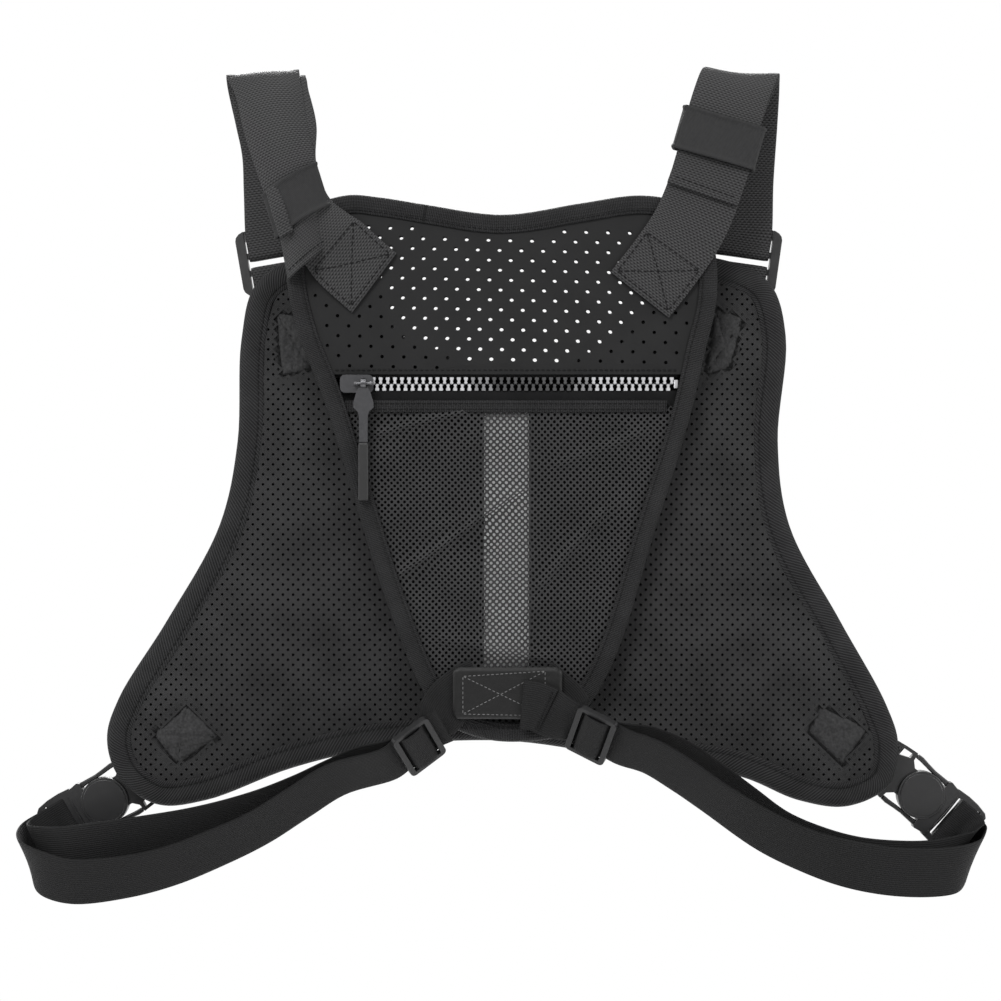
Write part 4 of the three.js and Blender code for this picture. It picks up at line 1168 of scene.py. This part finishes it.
def widened(spots, lock):
    """The bars at the ends of a ladder lock made thicker and a little longer."""
    local = (spots - lock.origin) @ lock.turn.T
    beyond = np.clip(np.abs(local[:, 0]) - LOCK_HALF_WIDTH, 0, None)
    local[:, 2] *= np.where(beyond > 0.2, 1.35, 1.0)
    local[:, 0] = np.sign(local[:, 0]) * (np.abs(local[:, 0]) + 0.5 * beyond)
    return lock.point(local)


for side, lock in (("right", RIGHT_LOCK), ("left", LEFT_LOCK)):
    rounded_copy(f"shoulder_adjuster_{side}", f"adjuster_{side}", PLASTIC, 0.9, f"shoulder_adjuster_{side}",
                 segments=3, reshape=lambda spots, lock=lock: widened(spots, lock))
for name in ("back", "chest"):
    rounded_copy(f"{name}_zip_slider", f"{name}_slider", GUNMETAL, 0.3, f"{name}_zip_slider")
    rounded_copy(f"{name}_zip_pull", f"{name}_pull", GUNMETAL, 0.4, f"{name}_zip_pull")
    rounded_copy(f"{name}_zip_end_stop", f"{name}_stop", BRIGHT, 0.3, "vest")
rounded_copy("back_zip_pull_grip", "back_grip", GRIP, 0.9, "back_zip_pull", segments=3)


# ---------------------------------------------------------------- how straps pass hardware
# each list gives [along, depth] of a strap's middle in a buckle's own axes
PLUG_LOOP = [(29, 3.4), (23, 3.4), (19.6, 2.9), (18.4, 0), (19.6, -2.9), (23, -3.4), (29, -3.4)]
SEWN_LAYER_DEPTH = -2.9
RETURN_LAYER_DEPTH = -1.45
HUMP = [(9.8, -0.9), (7.9, -0.8), (6.7, 0.4), (5.9, 2.3), (4.2, 3.4), (0, 3.7), (-4.2, 3.4), (-5.9, 2.3),
        (-6.7, 0.4), (-7.9, -0.8), (-9.8, -0.9)]


def passed(axes, xs, depth, across):
    return [axes.station(x, 0, depth, across) for x in xs]


def plug_pass(axes, across):
    return [axes.station(x, 0, z, across) for x, z in PLUG_LOOP]


def rounded_box(centre, half, radius, steps=6):
    points = []
    for corner, (sx, sz) in enumerate(((1, 1), (-1, 1), (-1, -1), (1, -1))):
        middle = centre + np.array([sx, sz]) * (half - radius)
        for k in range(steps + 1):
            angle = (corner + k / steps) * math.pi / 2
            points.append(middle + radius * np.array([math.cos(angle), math.sin(angle)]))
    return np.array(points)


# ---------------------------------------------------------------- release buckles
def plate(outline, holes, z0, z1):
    """Vertices and faces of a flat plate with holes, in a buckle's local axes."""
    flat, triangles = triangulated([outline, *holes])
    triangles = [f for f in triangles
                 if not any(inside(flat[list(f)].mean(0)[None], np.array(hole, float))[0] for hole in holes)]
    n = len(flat)
    vertices = np.vstack([np.column_stack([flat, np.full(n, z)]) for z in (z0, z1)])
    faces = [tuple(reversed(f)) for f in triangles] + [tuple(n + i for i in f) for f in triangles]
    used = {(a, b) for f in triangles for a, b in zip(f, f[1:] + f[:1])}
    faces += [(a, b, b + n, a + n) for a, b in used if (b, a) not in used]
    return vertices, faces


def moulded(name, parts, axes, body, replaces=(), bevel=0.6, material=PLASTIC):
    """Plates in a buckle's local axes, joined into one moulded piece with rounded edges."""
    vertices, faces, start = [], [], 0
    for v, f in parts:
        vertices.append(axes.point(v))
        faces += [tuple(start + i for i in face) for face in f]
        start += len(v)
    obj = piece(name, np.vstack(vertices), faces, material, body=body, slot="plastic", replaces=replaces)
    with Edited(obj.data) as bm:
        bmesh.ops.recalc_face_normals(bm, faces=bm.faces)
        round_edges(bm, 1, 35, bevel)
        for f in bm.faces:
            f.smooth = True
    obj.modifiers.new("even_shading", "WEIGHTED_NORMAL")


def disc(radius, z0, z1, count=48):
    turn = np.arange(count) * math.tau / count
    return plate(np.stack([radius * np.cos(turn), radius * np.sin(turn)], 1), [], z0, z1)


def mirrored(half):
    """A closed outline from its half at positive y, listed from the inner end outwards."""
    return [*half, *[(x, -y) for x, y in reversed(half)]]


def flipped(outline):
    return [(x, -y) for x, y in outline]


SOCKET_HALF = [(-28.5, 12.4), (-27.5, 13.6), (-22, 14.6), (-15.4, 15.4), (-14.9, 13.2), (-14.6, 11.2),
               (-11.6, 8.4), (8.5, 8.5), (9, 13.6), (14.2, 12.8)]
SOCKET_WINDOW = [(-22.6, 8.4), (-22.6, 12.7), (-16.8, 13.4), (-17.0, 10.8)]
WEB_SLOT = [(-26, -12.3), (-24.2, -12.3), (-24.2, 12.3), (-26, 12.3)]
MOUTH = mirrored([(6.8, 14.6), (8.2, 15.6), (14.4, 14.4), (14.8, 12.5)])
PLUG_HALF = [(12.2, 14.2), (13.4, 15.3), (20, 15.9), (26, 15.7), (32, 14.6), (34, 12.8)]
PLUG_SLOT = [(16.3, -11.8), (17.9, -12.1), (18.3, 0), (17.9, 12.1), (16.3, 11.8), (16.9, 0)]
PLUG_WINDOW = [(28.2, -13), (29.8, -13), (29.8, 13), (28.2, 13)]
ARM = [(13.8, 13.4), (9, 14.9), (4, 14.7), (-2, 14.5), (-7, 15.0), (-11.5, 15.6), (-14.6, 15.4),
       (-14.6, 12.9), (-11, 12.9), (-6, 12.5), (-1, 12.2), (4, 12.2), (9, 11.6), (13.8, 10.6)]
RIB = [(0, -11.8), (0.5, -6), (0.7, 0), (0.5, 6), (0, 11.8), (1.0, 11.8), (1.5, 6), (1.7, 0), (1.5, -6),
       (1.0, -11.8)]
for side, axes in (("right", RIGHT_BUCKLE), ("left", LEFT_BUCKLE)):
    moulded(f"socket_{side}", [
        plate(mirrored(SOCKET_HALF), [SOCKET_WINDOW, flipped(SOCKET_WINDOW), WEB_SLOT], -2.6, 2.4),
        plate(MOUTH, [], -3.9, 3.5),
    ], axes, "vest", (f"buckle_socket_{side}",))
    moulded(f"socket_disc_{side}", [disc(12.5, -3.9, 4.3), disc(11.3, 4.0, 4.75)], axes, "vest", bevel=0.5)
    moulded(f"plug_{side}", [
        plate(mirrored(PLUG_HALF), [PLUG_SLOT, PLUG_WINDOW] if side == "right" else [PLUG_WINDOW], -2.3, 2.3),
        plate([(x + 12.6, y) for x, y in RIB], [], 2.0, 3.3),
        plate([(x + 14.5, y) for x, y in RIB], [], 2.0, 3.1),
    ], axes, f"buckle_plug_{side}", (f"buckle_plug_{side}",), bevel=0.45)
    arms = ("upper", ARM), ("lower", flipped(ARM))
    if side == "left":
        arms = ("upper", flipped(ARM)), ("lower", ARM)
    for place, outline in arms:
        moulded(f"arm_{place}_{side}", [plate(outline, [], -1.9, 1.9)], axes, f"latch_arm_{place}_{side}",
                (f"latch_arm_{place}_{side}",), bevel=0.7)

GLIDE_FRAME = rounded_box(np.zeros(2), np.array([11.0, 15.0]), 2.6, 5)
GLIDE_SLOT = [(5.5, -12.7), (8.0, -12.7), (8.0, 12.7), (5.5, 12.7)]
for side, axes in (("right", RIGHT_GLIDE), ("left", LEFT_GLIDE)):
    moulded(f"glide_{side}", [
        plate(GLIDE_FRAME, [GLIDE_SLOT, [(-x, y) for x, y in GLIDE_SLOT]], -0.4, 2.7),
    ], axes, f"triglide_{side}", (f"triglide_{side}",), bevel=0.75, material=MATT_PLASTIC)

# ---------------------------------------------------------------- waist elastics
UP, DOWN = (0, 1, 0), (0, -1, 0)
waist_right = [
    (18, -20.2, -311, 0.62, 0, 0.78), (26, -20.2, -317, 0.6, 0.03, 0.8),
    (32, -20.7, -322.5, 0.5, 0.03, 0.86), (35.2, -22.9, -327.3, 0.4, 0.05, 0.9),
    *passed(RIGHT_GLIDE, (-9, 9), SEWN_LAYER_DEPTH, UP),
    (74, -28, -342, 0.12, -0.65, 0.75), (90, -26.5, -348.5, 0.3, -0.65, 0.7),
    (105, -25, -359, 0.35, -0.6, 0.72), (122, -22, -373, 0.35, -0.5, 0.79),
    (140, -20.5, -387, 0.3, -0.4, 0.87), (160, -20, -396.5, 0.25, -0.25, 0.93),
    (180, -20, -402.5, 0.15, -0.1, 0.98), (203, -19.5, -405, 0.03, 0, 1), (221, -17, -405, 0.05, 0, 1),
    (233, -11, -403.5, 0.15, 0, 0.98), (239.5, -3, -401, 0.35, 0, 0.93), (241.5, 4, -397.5, 0.5, 0, 0.87),
    *plug_pass(RIGHT_BUCKLE, UP),
    (244.3, 16.9, -395.7, 0.62, 0, 0.79), (247, 11, -399, 0.5, 0, 0.87), (246, 1, -402.8, 0.42, 0, 0.9),
    (242, -8.5, -405.8, 0.36, 0, 0.93), (233.5, -17.5, -407.8, 0.22, 0, 0.97),
    (219, -23, -408.5, 0.05, 0, 1), (200, -26, -407.5, 0.02, -0.05, 1), (180, -28, -404, 0.12, -0.15, 0.98),
    (158, -30, -397.5, 0.28, -0.4, 0.87), (136, -31.5, -387.5, 0.35, -0.5, 0.79),
    (107.4, -33, -369, 0.4, -0.65, 0.65), (91.6, -33, -358, 0.36, -0.65, 0.67),
    (76, -33, -348.5, 0.3, -0.65, 0.7),
    *passed(RIGHT_GLIDE, (17, 9, 0, -9), RETURN_LAYER_DEPTH, UP),
    (29, -27.2, -328.8, 0.3, -0.3, 0.9), (22.5, -26.2, -325.4, 0.25, 0, 0.96),
    (16, -25.2, -323, 0.15, 0, 0.98), (10, -24.6, -322.3, 0.08, 0, 1),
]
waist_left = [
    (-11, -20.2, -311, -0.3, 0, 0.95), (-20, -20.2, -315.5, -0.45, 0.02, 0.89),
    (-27, -20.2, -321.5, -0.5, 0.05, 0.85), (-31.5, -21.2, -328, -0.5, 0.1, 0.85),
    *passed(LEFT_GLIDE, (-9, 9), SEWN_LAYER_DEPTH, DOWN),
    (-70, -28, -352, -0.3, -0.65, 0.7), (-86, -27, -359, -0.3, -0.65, 0.7),
    (-102, -26, -367, -0.3, -0.6, 0.74), (-124, -24, -376.5, -0.3, -0.5, 0.8),
    (-154, -21.5, -385.5, -0.25, -0.4, 0.88), (-184, -20, -391.5, -0.2, -0.3, 0.93),
    (-210, -18.5, -396, -0.12, -0.1, 0.98), (-226, -15, -398.5, -0.1, 0, 0.99),
    (-236, -9, -399, -0.28, 0, 0.95), (-241.5, -2, -398, -0.4, 0, 0.92), (-240.5, 5, -396, -0.45, 0, 0.9),
    *plug_pass(LEFT_BUCKLE, DOWN),
    (-238.4, 16.9, -394.1, -0.5, 0, 0.87), (-244.8, 11.8, -397.9, -0.45, 0, 0.9),
    (-247, 2, -401.8, -0.4, 0, 0.92), (-244.8, -8, -405.6, -0.36, 0, 0.93),
    (-236.5, -17.5, -409.4, -0.22, -0.1, 0.96), (-220, -24, -412.8, -0.05, -0.25, 0.96),
    (-193, -27.5, -410, -0.15, -0.4, 0.9), (-169, -29.5, -404, -0.25, -0.5, 0.83),
    (-145, -31, -394.5, -0.3, -0.58, 0.76), (-123, -32, -384, -0.35, -0.62, 0.7),
    (-104, -33, -372, -0.38, -0.64, 0.67), (-84, -33.3, -359.5, -0.36, -0.65, 0.67),
    *passed(LEFT_GLIDE, (17, 9, 0, -9), RETURN_LAYER_DEPTH, DOWN),
    (-29.6, -27, -332.7, -0.33, -0.6, 0.68),
]
ELASTIC_WIDTH, ELASTIC_THICKNESS = 25, 1.1
for side, stations, axes, start, end, across in (
    ("right", waist_right, RIGHT_GLIDE, (0.120, -0.025, -0.375), (0.232, -0.012, -0.404), UP),
    ("left", waist_left, LEFT_GLIDE, (-0.120, -0.025, -0.378), (-0.226, -0.012, -0.398), DOWN),
):
    strap = Strap(stations, ELASTIC_WIDTH, ELASTIC_THICKNESS)
    obj = strap.build(f"elastic_{side}", ELASTIC, curl=0.2, wave=0.22, seed=11 if side == "right" else 12,
                      body=None, slot="elastic", replaces=(f"waist_elastic_{side}",))
    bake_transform(obj)
    hump = Strap([axes.station(x, 0, z, across) for x, z in HUMP], ELASTIC_WIDTH, 0.8, step=0.8)
    hump.build(f"elastic_over_glide_{side}", ELASTIC, curl=0.0, wave=0.0, body=f"triglide_{side}",
               slot="elastic")
    if side == "right":
        # the right elastic's end is turned over and sewn down
        tail = strap.length
        facing = 1 if strap.up[-3, 1] < 0 else -1
        spots = np.linspace(tail - 14, tail - 0.6, 8)
        lifts = np.array([1.0, 1.5, 1.6, 1.6, 1.7, 1.8, 1.7, 1.0]) * facing
        points, _, sides, _ = strap.at(spots, np.zeros(8), lifts)
        turned = Strap([(*q, *w) for q, w in zip(points, sides)], ELASTIC_WIDTH - 0.4, 1.3, step=1.0)
        turned.build("elastic_tail_turn", ELASTIC, curl=0.3, wave=0.1, slot="elastic")
        strap_seam("elastic_tail_seam", strap, [(tail - 12.4, -11), (tail - 12.4, 11)], lift=2.35 * facing,
                   pitch=2.4, length=1.7, slot="elastic")

# ---------------------------------------------------------------- waist patch
PATCH_MIDDLE = np.array([2.8, -316.8])
PATCH_HALF = np.array([27.9, 13.2])


def patch_front(points, gap):
    ridge = 0.5 * bell(gap - 1.6, 1.0)
    groove = 0.35 * bell(gap - 3.4, 0.6)
    return -22.9 - 0.5 * rise(gap, 1.2) - ridge + groove


patch_outline = resample(rounded_box(PATCH_MIDDLE, PATCH_HALF, 3), 1.6, closed=True)[0]
slab("patch_face", patch_outline, patch_front, level(-22.15), PATCH_SKIN, step=1.5, slot="patch",
     replaces=("waist_patch",))
panel_seam("patch_seam", box_cross((-20, -308.2), (-20, -327.4), (22, -328.4), (22, -305.6)), level(-23.45),
           pitch=2.3, length=1.5, radius=0.24, material=PALE_THREAD, slot="patch")
panel_seam("hem_seam", [[(-22, -335.2), (30, -334.6)]], level(-18.7), pitch=2.3, length=1.6, slot="binding")

# ---------------------------------------------------------------- hip tabs
HIP_TAB = [
    (-74, 4.1), (-54, 4.1), (-36, 4), (-30.5, 3.5), (-26.5, 3.4), (-23.9, 2.7), (-23.2, 0),
    (-23.9, -2.7), (-26.5, -3.4), (-31, -2.6), (-38, 1.6), (-46, 2.5), (-60, 2.5), (-74, 2.5),
]
for side, axes in (("right", RIGHT_BUCKLE), ("left", LEFT_BUCKLE)):
    stations = [axes.station(x, 0, z, (0, 1, 0)) for x, z in HIP_TAB]
    tab = Strap(stations, ELASTIC_WIDTH, ELASTIC_THICKNESS, step=1.0)
    tab.build(f"hip_webbing_{side}", WEBBING, curl=0.0, wave=0.0, slot="webbing",
              replaces=(f"hip_tab_{side}",))
    strap_seam(f"hip_seam_{side}", tab, strap_box(tab.length - 2, tab.length - 24, 10.5), lift=0.6, pitch=2.5,
               length=1.8, slot="webbing")

# ---------------------------------------------------------------- shoulder webbing
SHOULDER_TAB = [
    (-56, 2.7), (-30, 2.7), (-14, 2.6), (-6.5, 2.6), (-4, 2.55), (-2.8, 1.9), (-2.4, 0),
    (-2.8, -1.9), (-4, -2.55), (-6.5, -2.5), (-10, -1.4), (-16, 1), (-30, 1.05), (-56, 1.05),
]
LOCK_LOOP = [(14, 2.6), (7, 2.6), (3, 2.55), (1.8, 1.9), (1.4, 0), (1.8, -1.9), (3, -2.55), (7, -2.6),
             (15, -2.6)]
WEB_WIDTH, WEB_THICKNESS, WEB_SEAM_HALF = 38, 1.2, 16.5
for side, axes in (("left", LEFT_LOCK), ("right", RIGHT_LOCK)):
    stations = [axes.station(0, y, z, (1, 0, 0)) for y, z in SHOULDER_TAB]
    tab = Strap(stations, WEB_WIDTH, WEB_THICKNESS, step=1.0)
    tab.build(f"lock_webbing_{side}", WEBBING, curl=0.0, wave=0.0, slot="webbing",
              replaces=(f"shoulder_tab_{side}",))
    strap_seam(f"lock_seam_{side}", tab, strap_box(2, 30, WEB_SEAM_HALF), lift=-0.65, pitch=2.9, length=2.1,
               slot="webbing")


def lock_pass(axes):
    return [axes.station(0, y, z, (1, 0, 0)) for y, z in LOCK_LOOP]


shoulder_left = [
    (-65.5, -19.1, -107, 0.6, 0, 0.8), (-79, -20.2, -95, 0.6, 0, 0.8), (-90, -22.2, -84, 0.6, 0, 0.66),
    (-99, -24, -74, 0.6, 0, 0.5), (-105, -24.6, -63, 0.66, 0, 0.42), (-109.8, -23.4, -49, 0.742, 0, 0.32),
    (-111.6, -19, -28, 0.84, 0, 0.2), (-117, -10.8, -8, 0.9, 0, 0.1), (-120.8, -2.6, 0.7, 0.96, 0, 0.07),
    (-122, 4.5, -4, 1, 0, 0.08), (-120.6, 8, -19, 0.99, 0, 0.12), (-117.4, 9.2, -35, 0.99, 0, 0.14),
    (-116.6, 9.4, -54, 0.99, 0, 0.14),
    *lock_pass(LEFT_LOCK),
    (-116.9, 12, -54, 0.99, 0, 0.14), (-117.7, 11.6, -35, 0.99, 0, 0.14),
    (-120.9, 10.4, -19, 0.99, 0, 0.12), (-124.4, 6.5, -2.4, 1, 0, 0.08), (-124.2, -3, 3.2, 0.96, 0, 0.07),
    (-120.9, -13.4, -5, 0.9, 0, 0.1), (-116.1, -21.8, -27, 0.84, 0, 0.2),
    (-110, -26, -48.5, 0.742, 0, 0.32), (-105.2, -27.4, -63, 0.66, 0, 0.42),
    (-102.6, -27.2, -75, 0.58, 0, 0.45), (-101.4, -26.8, -84, 0.55, 0, 0.45),
    (-99.4, -26.2, -97.5, 0.53, 0, 0.45),
]
shoulder_right = [
    (70.5, -19.1, -113, 0.73, 0, -0.68), (83, -19.1, -97, 0.79, 0, -0.61), (94, -19.4, -81, 0.84, 0, -0.54),
    (101.5, -19.9, -65, 0.9, 0, -0.43), (107.5, -19.6, -46, 0.93, 0, -0.36),
    (114.5, -17, -21, 0.94, 0, -0.33), (120.8, -11, -4.5, 0.97, 0, -0.2), (124.7, -2.5, 0.7, 1, 0, -0.05),
    (125.8, 4.5, -4, 1, 0, -0.04), (125.3, 8, -20, 1, 0, -0.05), (123.3, 9.4, -52, 1, 0, -0.06),
    *lock_pass(RIGHT_LOCK),
    (123.4, 12, -52, 1, 0, -0.06), (125.5, 10.4, -20, 1, 0, -0.05), (126, 6.5, -2.4, 1, 0, -0.04),
    (124.9, -2.5, 3, 1, 0, -0.05), (120.6, -12.6, -2.8, 0.97, 0, -0.2),
    (114.2, -19.3, -20.5, 0.94, 0, -0.33), (107.7, -22, -46, 0.93, 0, -0.36),
    (102.3, -22.5, -62, 0.91, 0, -0.4),
]
for side, stations, seed in (("left", shoulder_left, 21), ("right", shoulder_right, 22)):
    strap = Strap(stations, WEB_WIDTH, WEB_THICKNESS, square=side == "right")
    strap.build(f"strap_{side}", WEBBING, curl=0.15, wave=0.12, seed=seed, slot="webbing",
                replaces=(f"shoulder_strap_{side}",))
    # the stitches lie on the strap's side that faces the viewer, at its first end and at its last
    start_lift, end_lift = (0.7 if strap.up[k, 1] < 0 else -0.7 for k in (2, -3))
    half, last = WEB_SEAM_HALF, strap.length - 4
    for name, corners, lift in (
        ("end_seam", strap_box(2.5, 28, half), start_lift),
        ("end_cross", [(2.5, half), (28, -half)], start_lift),
        ("tail_seam", [(last, -half), (last, half)], end_lift),
    ):
        strap_seam(f"strap_{name}_{side}", strap, corners, lift=lift, slot="webbing")

# ---------------------------------------------------------------- strap keepers
def keeper_loop(half, front, behind, bow):
    """[across, toward the viewer] points of a flat loop round two layers of webbing, bowed like them."""
    share = np.linspace(-1, 1, 13)
    lift = bow * (0.4 - share**2)
    ahead = zip(share * half, lift + front)
    back = zip(share[::-1] * half, lift[::-1] - behind)
    turn_x, turn_z = half + 1.2, lift[0] + front * 0.4
    return [*ahead, (turn_x, turn_z), *back, (-turn_x, turn_z)]


HALF_HEM = [(-0.5, 0.0), (-0.5, 0.75), (-0.485, 0.95), (-0.455, 1.0), (-0.43, 0.8), (-0.41, 0.5)]
KEEPER_PROFILE = [
    *HALF_HEM, *[(u, 0.45) for u in np.linspace(-0.36, 0.36, 7)], *[(-u, h) for u, h in HALF_HEM[::-1]],
    (0.5, -0.4), (0, -0.45), (-0.5, -0.4),
]


def keeper_band(side, origin, across, upward, loop, length):
    """A closed band swept along upward, with rolled hems. loop lists [across, toward the viewer] points."""
    ring = resample(np.array(loop, float), 0.9, closed=True)[0]
    out = -inward(ring)
    if ((ring - ring.mean(0)) * out).sum() < 0:
        out = -out
    across, upward, viewer = unit(across), unit(upward), np.array([0.0, -1.0, 0.0])
    vertices, uv = [], []
    for spot, way, far in zip(ring, out, run_along(ring)):
        for u, h in KEEPER_PROFILE:
            x, z = spot + way * h
            wobble = 0.25 * math.sin(far / 6 + u * 5)
            vertices.append(np.array(origin) + across * x + viewer * (z + wobble) + upward * u * length)
            uv.append((far, u * length))
    faces = tube_faces(len(ring), len(KEEPER_PROFILE), closed=True)
    obj = piece(f"keeper_{side}", vertices, faces, KEEPER_CLOTH, uv=uv, slot="elastic",
                body=f"strap_keeper_{side}", replaces=(f"strap_keeper_{side}",))
    face_outward(obj)


keeper_band("left", (-105.3, -25.8, -65), (0.853, 0, 0.523), (-0.298, 0, 0.955),
            keeper_loop(14.6, 3.6, 4.0, 8.0), 23.5)
keeper_band("right", (111, -19.7, -33), (0.96, 0, -0.28), (0.28, 0.1, 0.955),
            keeper_loop(20.3, 4.2, 4.4, 0.6), 23)
flap = Strap([(-116.6, -29.4, -59.6, 0.8, -0.2, 0.45), (-113.2, -31.2, -71, 0.8, -0.2, 0.45),
              (-109.4, -30.6, -83.4, 0.8, -0.2, 0.45)], 8.8, 2.0, step=1.0, square=False)
flap.build("keeper_left_flap", WEBBING, curl=0.1, wave=0.1, across=8, body="strap_keeper_left",
           slot="elastic")

# ---------------------------------------------------------------- chest pocket
POCKET_OUTLINE = resample(np.array([
    (88, -208.3), (-88, -208.3), (-98, -296), (-94, -314), (-80, -322), (80, -322), (94, -314), (98, -296),
], float), 4, closed=True)[0]
BAND_OUTLINE = resample(np.array([
    (80, -171), (-80, -171), (-85, -176), (-87, -191.7), (87, -191.7), (85, -176),
], float), 4, closed=True)[0]


POCKET_BACK_Y = 8.9
POCKET_SEAM_INSET = 3


def pocket_front(points, gap):
    folds = 0.3 * ripple(points, 61, 80) * np.clip(gap / 15, 0, 1)
    return 9.9 + 2.4 * rise(gap, 7) + folds - 0.6 * bell(gap - POCKET_SEAM_INSET, 0.9)


def band_front(points, gap):
    return 10.0 + 1.8 * rise(gap, 3) - 0.5 * bell(gap - POCKET_SEAM_INSET, 0.9)


def on_pocket_seam(points):
    return pocket_front(points, np.full(len(points), POCKET_SEAM_INSET)) + 0.1


slab("pocket_face", POCKET_OUTLINE, level(POCKET_BACK_Y), pocket_front, SHELL, step=4.5, slot="shell",
     replaces=("chest_pocket",))
slab("pocket_top_band", BAND_OUTLINE, level(POCKET_BACK_Y), band_front, SHELL, step=3.5, slot="shell",
     replaces=("chest_pocket_band",))
rim_seam("pocket_seam", POCKET_OUTLINE, POCKET_SEAM_INSET, on_pocket_seam, 3.0, facing=1)

# ---------------------------------------------------------------- floor and light
FLOOR_Z, FLOOR_HALF = -0.9, 1.8
mesh = bpy.data.meshes.new("studio_floor")
corners = ((-1, -1), (1, -1), (1, 1), (-1, 1))
mesh.from_pydata([(x * FLOOR_HALF, y * FLOOR_HALF, FLOOR_Z) for x, y in corners], [], [(0, 1, 2, 3)])
floor = bpy.data.objects.new("studio_floor", mesh)
paper = Shade("paper", (0.93, 0.93, 0.93), 0.9, specular=0.1)
paper.tint(paper.noise(400), 0.99, 1.0)
mesh.materials.append(paper.done())
bpy.context.collection.objects.link(floor)


def lamp(name, location, size, power, target=(0, 0, -0.22)):
    data = bpy.data.lights.new(name, "AREA")
    data.shape = "RECTANGLE"
    data.size, data.size_y = size
    data.energy = power
    obj = bpy.data.objects.new(name, data)
    obj.location = location
    obj.rotation_euler = (Vector(target) - Vector(location)).to_track_quat("-Z", "Y").to_euler()
    bpy.context.collection.objects.link(obj)


lamp("key", (-0.7, -1.5, 1.0), (0.8, 0.8), 72)
lamp("fill", (1.3, -1.5, 0.2), (1.0, 1.0), 24)
lamp("top", (0.1, -0.2, 1.3), (1.0, 0.6), 22)
lamp("rim", (-0.3, 1.6, 0.9), (1.2, 0.8), 95)
lamp("side_left", (-1.7, -0.15, 0.15), (0.7, 0.9), 26)
lamp("side_right", (1.7, -0.15, 0.15), (0.7, 0.9), 26)
world = bpy.data.worlds.new("studio")
world.use_nodes = True
world.node_tree.nodes["Background"].inputs[0].default_value = (1, 1, 1, 1)
world.node_tree.nodes["Background"].inputs[1].default_value = 1.0
bpy.context.scene.world = world
